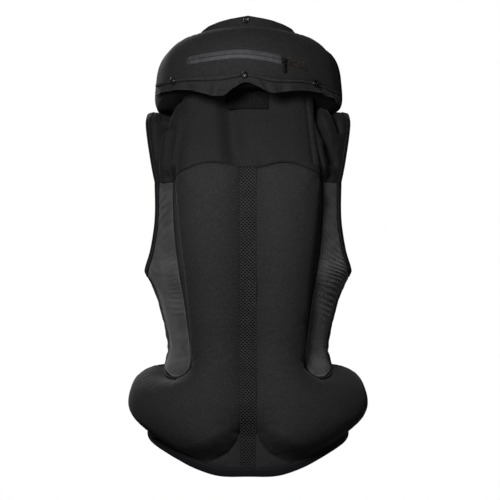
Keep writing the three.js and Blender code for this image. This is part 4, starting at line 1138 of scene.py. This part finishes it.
# Side mesh
def mesh_threads(flat):
    """Cells of the mesh that are thread: every second course, staggered posts between them, and the edges."""
    rows, columns = flat.shape[0] - 1, flat.shape[1] - 1
    j, i = np.meshgrid(np.arange(rows), np.arange(columns), indexing="ij")
    column = (flat[:-1, -1:, 0] - flat[:-1, :1, 0]) / columns
    repeat = np.clip(np.round(MESH.pitch / column), *MESH.repeat).astype(int)
    post = (i + (repeat // 2) * ((j // 2) % 2)) % repeat == 0
    edge = (i < 1) | (i >= columns - 1) | (j < MESH.hem_rows) | (j >= rows - MESH.head_rows)
    return (j % 2 == 0) | post | edge


def mesh_wrinkles(around, z, share, seed):
    """Small slanting ripples in patches, which fade where the mesh is sewn."""
    slant = z + lerp(*WRINKLE.lean, smoothstep(z, *WRINKLE.lean_z)) * around
    ripple = wave(slant, WRINKLE.length, WRINKLE.drift * rumple(around, z, WRINKLE.drift_size, seed))
    patch = smoothstep(rumple(around, z, WRINKLE.patch_size, seed + 1), *WRINKLE.patch)
    soft = WRINKLE.soft * rumple(around, z, WRINKLE.soft_size, seed + 2)
    ends = smoothstep(z, *WRINKLE.foot_z) * smoothstep(-z, *WRINKLE.head_z)
    held = np.sin(np.pi * share) ** WRINKLE.hold * ends
    return held * (WRINKLE.height * patch * ripple + soft + WRINKLE.rise)


def side_mesh(side):
    """Open mesh from the pad's edge to the front panel and the armhole: a thin wrinkled sheet with holes."""
    share = np.linspace(0, 1, STEPS.mesh)[None, :]
    course = np.linspace(WING_ROOT_Z, STRAP.hem_z + MESH.lap, STEPS.mesh_up)
    level = np.stack([course, course + MESH.course * (course[1] - course[0])], -1).ravel()[:-1, None]
    root = turn_behind(pad_edge_at(WING_ROOT_Z), WING_ROOT_Z)
    bottom = wing_top_at(lerp(root, SIDE_SEAM, share)) + PIPING.seat + GAP
    foot = (level - WING_ROOT_Z) / (WAIST_Z - WING_ROOT_Z)
    z = np.where(level < WAIST_Z, lerp(bottom, WAIST_Z, foot), level)
    back = turn_behind(pad_edge_at(z - PIPING.seat) + PIPING.seat, z)
    front = SIDE_SEAM - armhole_sweep(z, BINDING.width - TAPE_LAP) - SEAM_TURN
    turn = lerp(back, front, share)
    flat = unrolled(turn, z)
    depth = MESH.seat + mesh_wrinkles(flat[..., 0], z, share, SEEDS.side_mesh[side])
    outer = vest_point(turn, z, depth + MESH.thread)
    return mirrored(wall(outer, vest_point(turn, z, depth), flat, mesh_threads(flat)), side)


# Shoulder straps and armholes
def strap_stations(across):
    """Sections of a strap in their order, at a share across it."""
    stations = []
    for z, arm in zip(*STRAP_BACK.values()):
        neck = turn_behind(pad_edge_at(z) - PIPING.seat + 2 * GAP, z)
        stations.append(form_point(lerp(neck, turn_behind(arm, z), across), z))
    for row in zip(*STRAP_CREST.values()):
        neck, arm = np.array(row[:3]), np.array(row[3:6])
        lift = row[6] * np.sin(np.pi * across**2)
        stations.append(lerp(neck, arm, across[..., None]) + lift[..., None] * np.array([0, 0, 1]))
    for z, arm in zip(*STRAP_FRONT.values()):
        neck = turn_in_front(STRAP.front_x + 2 * GAP, z)
        stations.append(form_point(lerp(neck, turn_in_front(arm, z), across), z))
    return stations


def strap_point(along, across):
    """Strap surface: a smooth curve through its sections, behind, over and in front of the shoulder."""
    along, across = np.broadcast_arrays(along, across)
    stations = strap_stations(across)
    first = 2 * stations[0] - stations[1]
    last = 2 * stations[-1] - stations[-2]
    chain = np.stack([first, *stations, last])
    spans = len(stations) - 1
    place = np.clip(along, 0, 1) * spans
    k = np.minimum(place.astype(int), spans - 1)
    s = (place - k)[..., None]
    p0, p1, p2, p3 = (np.take_along_axis(chain, (k + d)[None, ..., None], axis=0)[0] for d in range(4))
    pairs = ((p0, p1), (p1, p2), (p2, p3))
    d0, d1, d2 = (np.sqrt(np.linalg.norm(b - a, axis=-1, keepdims=True)) for a, b in pairs)
    m1 = d1 * ((p1 - p0) / d0 - (p2 - p0) / (d0 + d1) + (p2 - p1) / d1)
    m2 = d1 * ((p2 - p1) / d1 - (p3 - p1) / (d1 + d2) + (p3 - p2) / d2)
    cubic = (2 * p1 - 2 * p2 + m1 + m2) * s**3 + (3 * p2 - 3 * p1 - 2 * m1 - m2) * s**2
    return cubic + m1 * s + p1


def strap_cloth_share(along):
    """Share of a strap's width that its cloth covers beside the binding."""
    width = np.linalg.norm(strap_point(along, 0 * along) - strap_point(along, 0 * along + 1), axis=-1)
    return 1 - BINDING.width / width


def shoulder_strap(side):
    """Loose cloth over a shoulder: it climbs to the yoke, raised and sunk along the folds of its table."""
    along = np.linspace(0, 1, STEPS.strap_along)[:, None]
    share = np.linspace(STRAP.tuck, 1, STEPS.strap)[None, :]
    point = strap_point(along, (strap_cloth_share(along) - STRAP.apart) * share)
    normal = unit(np.cross(np.gradient(point, axis=1), np.gradient(point, axis=0)))
    x, y, z = (point[..., k] for k in range(3))
    behind = smoothstep(-y, *STRAP.behind_y)
    beside = (1 - np.maximum(share, 0)) ** STRAP.climb_power
    climb = STRAP.climb[side] * beside * smoothstep(z, *STRAP.climb_z) * behind
    length, width = STRAP.cloth
    relief = rumples(length * along, width * share, "strap", SEEDS.strap[side])
    ease = smoothstep(1 - share, 0, STRAP.ease)
    rise = (ease * (creases(x, z, STRAP_FOLDS[side]) * behind + relief) + climb)[..., None]
    flat = stacked(lengths(point, axis=1), lengths(point))
    return mirrored(wall(point + normal * (CLOTH + rise), point + normal * (rise + STRAP.inner), flat), side)


def armhole_edges():
    """Inner and outer edge of the armhole binding all around, with their outward normals."""
    along = np.linspace(0, 1, STEPS.armhole)
    share = strap_cloth_share(along)
    before, after = (np.clip(along + step, 0, 1) for step in (-ARMHOLE.step, ARMHOLE.step))
    drop = ARMHOLE.drop + BINDING.width
    inner_z = STRAP.hem_z - drop * np.sin(np.linspace(0, np.pi / 2, STEPS.armhole_foot)[1:])
    outer_z = STRAP.hem_z - (STRAP.hem_z - inner_z) * ARMHOLE.drop / drop
    edges = []
    for across, z, margin in ((share, inner_z, BINDING.width), (0 * share + 1, outer_z, 0)):
        up = strap_point(after, across) - strap_point(before, across)
        right = strap_point(along, across + ARMHOLE.step) - strap_point(along, across - ARMHOLE.step)
        sweep = armhole_sweep(z, margin)
        turn = np.concatenate([SIDE_SEAM + sweep, (SIDE_SEAM - sweep)[-2::-1]])
        height = np.concatenate([z, z[-2::-1]])
        point = np.concatenate([strap_point(along, across), form_point(turn, height)])
        edges.append((point, np.concatenate([unit(np.cross(right, up)), form_normal(turn, height)])))
    return edges


def folded_tape(inner, outer, depth):
    """Sections of a folded binding: squared ovals between two edges, raised along the normals."""
    angle = circle(BINDING.sides, start=0.5)
    power = 2 / BINDING.squareness
    across = squared(np.cos(angle), power)[None, :, None]
    rise = squared(np.sin(angle), power)[None, :, None]
    middle = (inner[0] + outer[0])[:, None] / 2
    half = (outer[0] - inner[0])[:, None] / 2
    normal = (inner[1] + outer[1])[:, None] / 2
    return middle + half * across + normal * depth * (0.5 + 0.5 * rise)


def tape_cloth(rings):
    """Cloth coordinates of a binding: length along it and place around its section."""
    around = np.arange(rings.shape[1]) * BINDING.around
    return stacked(lengths(rings.mean(axis=1))[:, None], around[None, :])


def armhole_binding(side):
    """Bound edge of an armhole: a folded tape all around it."""
    rings = folded_tape(*armhole_edges(), BINDING.depth)
    return mirrored(tube(rings, tape_cloth(rings), is_loop=True), side)


def hem_edges(count):
    """Lower and upper edge of the hem binding, which laps over the cloth, with their outward normals."""
    end = turn_in_front(FRONT_ZIP.half - TAPE_LAP, hem_at(np.pi))
    turn = np.linspace(-end, end, count)
    heights = (hem_at(turn), hem_at(turn) + HEM_TAPE.width + HEM_TAPE.lap)
    return [(form_point(turn, z), form_normal(turn, z)) for z in heights]


def hem_binding():
    """Folded tape along the lower edge."""
    rings = folded_tape(*hem_edges(STEPS.hem), HEM_TAPE.depth)
    return tube(rings, tape_cloth(rings))


# Plain front
def front_panel(side):
    """Padded front from the side seam to the closure, and up beside the neck."""
    outer_share = np.linspace(0, 1, STEPS.front_outer)
    share = np.concatenate([outer_share, np.linspace(0, 1, STEPS.front_inner)[1:]])[None, :]
    is_outer = np.arange(share.size)[None, :] < len(outer_share)
    strap_x = STRAP.front_x - CHEST.strap_gap
    zip_x = FRONT_ZIP.half - TAPE_LAP

    def reach(z):
        seam = SIDE_SEAM + armhole_sweep(z, BINDING.width - TAPE_LAP) + SEAM_TURN
        middle = turn_in_front(strap_x, z)
        return np.where(is_outer, lerp(seam, middle, share), lerp(middle, turn_in_front(zip_x, z), share))

    corner = float(wing_top_at(SIDE_SEAM))
    lower = rows_from_hem(reach, corner, eased(STEPS.front_low, crowd=0.4)[:, None])
    level = np.linspace(corner, STRAP.hem_z - STRAP.seat, STEPS.front_level)[1:, None] + 0 * share
    neckline = neckline_at(lerp(strap_x, zip_x, np.where(is_outer, 0, share)))
    head = lerp(STRAP.hem_z - STRAP.seat, neckline, np.linspace(0, 1, STEPS.front_head)[1:, None])
    z = np.concatenate([lower, level, head])
    turn = reach(z)
    middle = (len(lower) + len(level) + 1, len(outer_share) - 1)
    keep = np.ones((z.shape[0] - 1, z.shape[1] - 1), bool)
    keep[middle[0]:, : middle[1]] = False
    depth = chest_depth(turn, z, SEEDS.front_panel[side])
    depth = np.where(is_outer & (z > STRAP.hem_z), STRAP.seat, depth)
    return padded_panel(side, turn, z, depth, keep, middle)


def front_zip():
    """Plain closed strip down the front, with a raised row of teeth along its middle."""
    across = np.linspace(1, -1, STEPS.front_zip)[None, :]
    z = np.linspace(hem_at(np.pi), FRONT_ZIP.top_z, STEPS.front_zip_up)[:, None] + 0 * across
    x = FRONT_ZIP.half * across + 0 * z
    turn = turn_in_front(np.abs(x), z) * np.where(x < 0, -1, 1)
    teeth = TEETH.height * bell(x, TEETH.width, power=4) * (TEETH.mean + TEETH.swing * wave(z, TEETH.pitch))
    outer = vest_point(turn, z, CLOTH + FRONT_ZIP.rise + teeth)
    return wall(outer, vest_point(turn, z, FRONT_ZIP.sunk + 0 * z), stacked(z, x))


# Neck roll
def around_neck(turn, reach, z):
    """Point at a distance from the neck's axis."""
    return stacked(reach * np.sin(turn), -reach * np.cos(turn), z)


def roll_row(turn):
    """Place and section of the roll at a turn around the neck."""
    return (curve(np.degrees(np.abs(turn))) for curve in roll_curves)


def roll_foot_squareness(turn):
    """How square the roll's lower outer corner is: squarer over the shoulders than behind the neck."""
    return lerp(COLLAR.squareness, COLLAR.foot_squareness, smoothstep(np.abs(turn), *COLLAR.foot_turns))


def roll_point(turn, angle, scale=1.0, swell=0.0):
    """Squared oval section around the neck, whose top leans in, swollen outwards by a relief."""
    reach, rise, thick, tall, lean = roll_row(turn)
    is_foot = (np.cos(angle) > 0) & (np.sin(angle) < 0)
    power = 2 / np.where(is_foot, roll_foot_squareness(turn), COLLAR.squareness)
    out = squared(np.cos(angle), power)
    up = squared(np.sin(angle), power)
    wide = scale * (out * thick - lean * up) + swell * np.cos(angle)
    return around_neck(turn, reach + wide, rise + scale * up * tall + swell * np.sin(angle))


def roll_reach(turn, z):
    """Distance of the roll's outer face from the neck's axis at a height."""
    reach, rise, thick, tall, lean = roll_row(turn)
    up = np.clip((z - rise) / tall, -1, 1)
    power = np.where(up < 0, roll_foot_squareness(turn), COLLAR.squareness)
    return reach + thick * (1 - np.abs(up) ** power) ** (1 / power) - lean * up


def collar_roll():
    """Inflated tube around the neck: domed ends, a sunk seam along its top, creases inside its bend."""
    body = np.linspace(-COLLAR.end, COLLAR.end, STEPS.roll)
    rounding = np.sin(np.linspace(0, np.pi / 2, STEPS.roll_dome))[1:]
    dome = COLLAR.end + COLLAR.dome * rounding * COLLAR.dome_share
    turn = np.concatenate([-dome[::-1], body, dome])[:, None]
    scale = np.sqrt(1 - np.clip((np.abs(turn) - COLLAR.end) / COLLAR.dome, 0, 1) ** 2)
    angle = circle(STEPS.roll_section, start=0.5)[None, :]
    arc = COLLAR.arc * turn
    around = COLLAR.girth * angle
    drift = COLLAR.fold_drift * rumple(arc, around, COLLAR.fold_size, SEEDS.fold)
    fold = COLLAR.fold * wave(arc, COLLAR.fold_length, drift) * smoothstep(-np.cos(angle), *COLLAR.inside)
    from_seam = COLLAR_SEAM.girth * np.abs(angle - COLLAR_SEAM.angle)
    seam = gathers(arc + 0 * angle, from_seam, "roll", SEEDS.roll_seam)
    seam = seam - COLLAR_SEAM.depth * bell(from_seam, COLLAR_SEAM.width)
    seam = seam * smoothstep(-np.abs(turn), *COLLAR_SEAM.ends)
    swell = scale * (fold + seam + rumples(arc, around, "roll", SEEDS.roll))
    return tube(roll_point(turn, angle, scale, swell), stacked(arc, around))


def roll_underside():
    """Mask of the roll's faces that look down, ring by ring; these faces take a darker finish as a painted
    shade.
    """
    angle = circle(STEPS.roll_section, start=0.5)
    is_under = (angle > COLLAR.underside[0]) & (angle < COLLAR.underside[1])
    return np.tile(is_under, STEPS.roll + 2 * (STEPS.roll_dome - 1) - 1)


def roll_piping():
    """Piping over the seams that join the roll's back to its ends: a cord along each seam's section."""
    angle = np.linspace(*COLLAR_PIPING.angles, STEPS.roll_piping)
    cords = []
    for seam in COLLAR_PIPING.turns:
        turn = seam + 0 * angle
        centre = roll_point(turn, angle, swell=COLLAR_PIPING.swell)
        out = centre - roll_point(turn, angle, scale=COLLAR_PIPING.core)
        cords.append(cord(centre, out, PIPING.radius + PIPING.roll_growth))
    return joined(cords)


# Band and flap on the roll
def neck_band():
    """Thin stand-up band along the roll's inner shoulder, with a rolled upper edge."""
    turn = np.linspace(-BAND.end, BAND.end, STEPS.band)[None, :]
    step = np.linspace(0, 1, STEPS.band_up)[:, None]
    seat = roll_point(turn, BAND.seat)
    reach = np.hypot(seat[..., 0], seat[..., 1]) - BAND.lean / 2
    z = seat[..., 2] + GAP + step * band_by_degree(np.degrees(np.abs(turn)))
    arc = BAND.arc * turn
    sway = BAND.wave * rumple(arc, BAND.wave_rows * step, BAND.wave_size, SEEDS.band)
    sway = step * (sway + BAND.ripple * wave(arc, BAND.ripple_length))
    lip = BAND.lip * bell(1 - step, BAND.lip_share)
    at = reach - BAND.lean * step + sway
    outer = around_neck(turn, at + lip, z)
    return wall(outer, around_neck(turn, at - BAND.thick - lip, z), stacked(arc, BAND.cloth * step))


def flap_reach(turn, drop):
    """Distance of the flap's inner face from the neck's axis, and its height, with gathers and folds."""
    x = FLAP.reach * np.sin(turn)
    top = flap_top_at(x)
    z = lerp(top, flap_edge_at(x), drop)
    folds = 0 * (x + drop)
    for place, width, height, lean in zip(*FLAP_FOLDS.values()):
        folds = folds + height * bell(x - place - lean * drop, width)
    relief = FLAP.rumple * rumple(x, FLAP.rumple_rows * drop, FLAP.rumple_size, SEEDS.flap_rumple)
    relief = relief + gathers(x + 0 * drop, drop * FLAP.girth, "flap", SEEDS.flap)
    hang = roll_reach(turn, top) - FLAP.tuck * drop**2 + folds * drop**FLAP.fold_power + relief * drop
    return np.maximum(hang, roll_reach(turn, z) + FLAP.clear) + FLAP.seat, z


def collar_flap():
    """Gathered flap under the roll, with a turned hem below and a raised lip along its top."""
    turn = np.linspace(-FLAP.end, FLAP.end, STEPS.flap)[None, :]
    drop = np.linspace(1, 0, STEPS.flap_down)[:, None]
    reach, z = flap_reach(turn, drop)
    depth = FLAP.depth
    for edge, way in ((FLAP_HEM, drop), (FLAP_LIP, -drop)):
        groove = edge.groove * bell(drop - edge.groove_at, edge.groove_width)
        depth = depth + edge.rise * smoothstep(way, *edge.edge) - groove
    outer = around_neck(turn, reach + depth, z)
    return wall(outer, around_neck(turn, reach, z), stacked(FLAP.reach * turn, z))


# Zip on the roll
def zip_place(x, height):
    """Turn and height of a place beside the zip's arched line."""
    turn = np.arcsin(x / roll_reach(0.0, zip_at(0.0)))
    return turn, zip_at(x) + height


def zip_wall(x, height, rise):
    """Strip along the zip's line, raised over the roll by a relief."""
    turn, z = zip_place(x, height)
    reach = roll_reach(turn, z) + ZIP.seat
    return wall(around_neck(turn, reach + rise(z), z), around_neck(turn, reach - ZIP.sunk, z), stacked(x, z))


def zip_tape():
    """Coated zip: two lips that meet in a fine groove, flat towards the sewn edges."""
    start = ZIP_LINE["x"][0]
    x = np.linspace(start, ZIP.slider_x - ZIP.slider_gap, STEPS.zip)[None, :]
    across = np.linspace(-1, 1, STEPS.zip_up)[:, None]
    rounded = np.sqrt(1 - (1 - np.clip((x - start) / ZIP.end_round, ZIP.least, 1)) ** 2)
    away = np.abs(across) * ZIP.shown
    lips = ZIP_LIPS.height * bell(away, ZIP_LIPS.width, power=4)
    lips = lips - ZIP_LIPS.groove * bell(away, ZIP_LIPS.groove_width)
    lips = lips - ZIP_LIPS.sewn * smoothstep(away, *ZIP_LIPS.sewn_at)

    def rise(z):
        return ZIP_LIPS.rise + lips + ZIP_LIPS.rumple * rumple(x, z, ZIP_LIPS.rumple_size, SEEDS.zip)

    return zip_wall(x, ZIP.shown * rounded * across, rise)


def zip_garage():
    """Rumpled little pocket at the zip's end that covers the slider's track."""
    x = np.linspace(ZIP.slider_x + ZIP.slider_gap, ZIP.end_x, STEPS.garage)[None, :]
    across = np.linspace(-1, 1, STEPS.garage_up)[:, None]
    crown = GARAGE.crown * (1 - across**GARAGE.power) * smoothstep(ZIP.end_x - x, 0, GARAGE.ease)

    def rise(z):
        return GARAGE.rise + crown + GARAGE.rumple * rumple(x, z, GARAGE.rumple_size, SEEDS.garage)

    return zip_wall(x, ZIP.half * across, rise)


# Studs, slider and pull
def roll_frame(turn, reach, z):
    """Middle and directions of a small piece on the roll: to its right, up and out."""
    middle = np.array([reach * math.sin(turn), -reach * math.cos(turn), z])
    right = np.array([math.cos(turn), math.sin(turn), 0.0])
    out = np.array([math.sin(turn), -math.cos(turn), 0.0])
    return middle, right, np.array([0.0, 0.0, 1.0]), out


def placed(shape, place):
    """A small shape made flat, with its depth along its third axis, set into a frame."""
    points, faces, flat = shape
    middle, right, up, out = place
    return middle + points @ np.stack([right, up, out]), faces, flat


def stud():
    """Press stud turned from a profile: a flange, a rounded rim and a dished middle with a raised eye."""
    angle = circle(STEPS.stud)
    radius, height = (column[:, None] for column in STUD_PROFILE.values())
    return tube(stacked(radius * np.cos(angle), radius * np.sin(angle), height))


def flap_stud(x, z):
    """Press stud on the flap, facing out of it."""
    turn = math.asin(x / float(roll_reach(0.0, z)))
    place_x = FLAP.reach * math.sin(turn)
    top = float(flap_top_at(place_x))
    drop = max((top - z) / (top - float(flap_edge_at(place_x))), 0.0)
    reach, _ = flap_reach(np.array(turn), np.array(drop))
    return placed(stud(), roll_frame(turn, float(reach) + FLAP.depth + FLAP_LIP.rise - STUD_SUNK, z))


def neck_stud():
    """Press stud at the back of the neck band, leaning with it."""
    seat = roll_point(np.array(0.0), BAND.seat)
    lean = BAND.lean / float(BAND_HEIGHT["height"][0])
    y = seat[1] + BAND.lean / 2 + lean * NECK_STUD.rise - 2 * GAP
    out = unit(np.array([0.0, -1.0, lean]))
    right = np.array([1.0, 0.0, 0.0])
    middle = np.array([NECK_STUD.x, y, seat[2] + NECK_STUD.rise])
    return placed(stud(), (middle, right, np.cross(out, right), out))


def rounded_bar(width, height, depth, corner):
    """Flat bar with rounded corners and soft edges: squared oval rings that swell and close."""
    angle = circle(STEPS.bar)
    power = 2 / BAR_SQUARENESS
    inset, rise = (column[:, None] for column in BAR_EDGE.values())
    x = squared(np.cos(angle), power) * (width / 2 - corner * inset)
    y = squared(np.sin(angle), power) * (height / 2 - corner * inset)
    return tube(stacked(x, y, depth * rise))


def bars(columns):
    """Bars of a table, each at its place on the zip's slider, as one shape."""
    shapes = []
    for width, height, depth, corner, *place in zip(*columns.values()):
        points, faces, flat = rounded_bar(width, height, depth, corner)
        shapes.append((points + np.array(place), faces, flat))
    z = float(zip_at(ZIP.slider_x))
    turn = math.asin(ZIP.slider_x / float(roll_reach(0.0, z)))
    return placed(joined(shapes), roll_frame(turn, float(roll_reach(turn, z)) + SLIDER_SEAT, z))


# Stitches
def stitch_row(path, normals):
    """Thread along a path: a short bead at every pitch, laid along the path."""
    place = np.concatenate([[0], np.cumsum(np.linalg.norm(np.diff(path, axis=0), axis=-1))])
    at = np.arange(STITCH.pitch / 2, place[-1], STITCH.pitch)

    def read(values, where):
        return np.stack([np.interp(where, place, values[:, k]) for k in range(3)], -1)

    along = unit(read(path, at + STITCH.look) - read(path, at - STITCH.look))
    aside = unit(np.cross(along, read(normals, at)))
    out = np.cross(aside, along)
    angle = circle(STITCH.sides)[:, None]
    ahead, radius = (column[:, None, None] for column in STITCH_RINGS.values())
    ring = np.cos(angle) * aside[:, None, None] + np.sin(angle) * out[:, None, None]
    bead = ahead * STITCH.length * along[:, None, None] + STITCH.radius * radius * ring
    return joined([tube(rings) for rings in read(path, at)[:, None, None] + bead])


def on_roll(x, height):
    """Path on the roll beside the zip's line, with its normals."""
    turn, z = zip_place(x, height)
    return around_neck(turn, roll_reach(turn, z) + STITCH.on_roll, z), around_neck(turn, 1.0, 0 * turn)


def stitching():
    """Visible seams: along the flap, around the zip, and along the bindings."""
    turn = np.linspace(-FLAP.end, FLAP.end, STEPS.flap_stitch)
    reach, z = flap_reach(turn, STITCH.flap_drop + 0 * turn)
    flap_path = around_neck(turn, reach + FLAP.depth + FLAP_LIP.rise, z)
    rows = [(flap_path, around_neck(turn, 1.0, 0 * turn))]
    x = np.linspace(ZIP_LINE["x"][0] - STITCH.beside_zip, ZIP.end_x + STITCH.beside_zip, STEPS.zip_stitch)
    beside = ZIP.half + STITCH.beside_zip
    rows += [on_roll(x, height + 0 * x) for height in (-beside, beside)]
    rise = np.linspace(-beside, beside, STEPS.zip_end_stitch)
    rows += [on_roll(end + 0 * rise, rise) for end in (x[0], x[-1])]
    low, high = hem_edges(STEPS.hem_stitch)
    hem_path = lerp(low[0], high[0], STITCH.hem_share) + high[1] * (HEM_TAPE.depth + STITCH.hem_rise)
    rows.append((hem_path, high[1]))
    inner, outer = armhole_edges()
    path = lerp(inner[0], outer[0], STITCH.armhole_share) + inner[1] * (BINDING.depth + STITCH.armhole_rise)
    for side in SIDES.values():
        flip = np.array([side, 1, 1])
        rows.append((path * flip, inner[1] * flip))
    return joined([stitch_row(path, normals) for path, normals in rows])


# Pieces on both sides: node, ending of the name, shape, finish and slot
SIDES = {"right": 1, "left": -1}
SIDE_PIECES = (
    ("back_pad", "cloth", back_pad, "stretch_cloth", "stretch_cloth"),
    ("front_panel", "cloth", front_panel, "stretch_cloth", "stretch_cloth"),
    # the side mesh takes the lighter threads, a painted light
    ("side_mesh", "net", side_mesh, "light_mesh", "light_mesh"),
    ("side_piping", "cord", side_piping, "piping", "binding"),
    # the straps take the darker copy of the stretch cloth, a painted shade
    ("shoulder_strap", "cloth", shoulder_strap, "loose_cloth", "stretch_cloth"),
    ("armhole_binding", "tape", armhole_binding, "binding", "binding"),
)
for word, side in SIDES.items():
    for node, ending, shape, finish, slot in SIDE_PIECES:
        name = f"{node}_{word}"
        make_piece(f"{name}_{ending}", shape(side), finish, name)

# Single pieces
make_piece("spine_backing", spine_backing(), "net_backing", "spine_mesh")
make_piece("spine_net", spine_net(), "net_strand")
# the yoke takes the darker copy of the stretch cloth, a painted shade
make_piece("yoke_cloth", yoke(), "yoke_cloth", "yoke")
# faces of the roll that look down get the darker navy finish: a painted shade
under = ("lining", roll_underside())
roll = make_piece("collar_roll_cloth", collar_roll(), "stretch_cloth", "collar_roll", under)
make_piece("collar_roll_piping", roll_piping(), "binding")
make_piece("front_zip_strip", front_zip(), "binding", "front_zip")
make_piece("hem_binding_tape", hem_binding(), "binding", "hem_binding")
band = make_piece("neck_band_cloth", neck_band(), "stretch_cloth", "neck_band")
flap = make_piece("collar_flap_cloth", collar_flap(), "stretch_cloth", "collar_flap")
make_piece("loop_patch_pile", loop_patch(), "loop_tape", "loop_patch")
make_piece("zip_tape_coated", zip_tape(), "zip_tape", "zip_tape")
make_piece("zip_garage_pocket", zip_garage(), "zip_garage", "zip_garage")
make_piece("zip_slider_body", bars(SLIDER_BARS), "stud_metal", "zip_slider")
make_piece("zip_pull_tab", bars(PULL_BARS), "stud_metal", "zip_pull")
for name, (x, z) in STUDS.items():
    make_piece(f"{name}_stud", flap_stud(x, z), "stud_metal", name)
make_piece("snap_neck_stud", neck_stud(), "stud_metal", "snap_neck")
make_piece("stitching_thread", stitching(), "stitching")


# Surroundings
def floor():
    """Round pale floor below the hem: rings out to its edge."""
    angle = circle(STEPS.floor)
    radius = FLOOR.edge[1] * np.array(FLOOR.rings)[:, None]
    rings = stacked(radius * np.cos(angle), radius * np.sin(angle), FLOOR.z)
    index = np.arange(rings.shape[0] * STEPS.floor).reshape(-1, STEPS.floor)
    around = np.roll(index, -1, axis=1)
    quads = np.stack([index[:-1], index[1:], around[1:], around[:-1]], -1).reshape(-1, 4).tolist()
    mesh = bpy.data.meshes.new("floor")
    mesh.from_pydata(rings.reshape(-1, 3), [], quads + [index[0].tolist()])
    mesh.materials.append(FINISHES["pale_floor"])
    linked("floor", mesh)


def soft_light(name, place, target, size, power, spread=180):
    """Square soft box that faces a target and shines into a cone, whose angle is in degrees."""
    light = bpy.data.lights.new(name, "AREA")
    light.size = size
    light.energy = power
    light.spread = math.radians(spread)
    lamp = linked(name, light)
    lamp.location = place
    lamp.visible_camera = False
    way = np.array(target) - np.array(place)
    lamp.rotation_euler = (math.atan2(math.hypot(way[0], way[1]), -way[2]), 0, math.atan2(-way[0], way[1]))


def studio():
    """White surround, three soft boxes, and a level camera behind the vest."""
    scene = bpy.context.scene
    scene.world = bpy.data.worlds.new("studio")
    scene.world.use_nodes = True
    tree = scene.world.node_tree
    surround = tree.nodes["Background"]
    surround.inputs["Color"].default_value = (1, 1, 1, 1)
    path = tree.nodes.new("ShaderNodeLightPath")
    strength = tree.nodes.new("ShaderNodeMapRange")
    strength.inputs["To Min"].default_value = AMBIENT
    strength.inputs["To Max"].default_value = 1.0
    tree.links.new(path.outputs["Is Camera Ray"], strength.inputs["Value"])
    tree.links.new(strength.outputs["Result"], surround.inputs["Strength"])
    soft_light("key", (-0.36, -1.4, 0.4), target=(0, -0.1, -0.18), size=0.4, power=4.3, spread=62)
    soft_light("fill", (1.1, -2.6, -0.5), target=(0, 0, -0.25), size=1.4, power=12)
    soft_light("chest", (-0.9, 2.3, 0.9), target=(0, 0, -0.2), size=1.2, power=32)
    camera = bpy.data.cameras.new("camera")
    camera.sensor_width = CAMERA.sensor
    camera.lens = camera.sensor_width * CAMERA.distance / CAMERA.width
    camera.clip_end = 3 * CAMERA.distance
    view = linked("camera", camera)
    view.location = (CAMERA.middle[0], -CAMERA.distance, CAMERA.middle[1])
    view.rotation_euler = (math.pi / 2, 0, 0)
    scene.camera = view
    scene.view_settings.view_transform = "Standard"


floor()
studio()
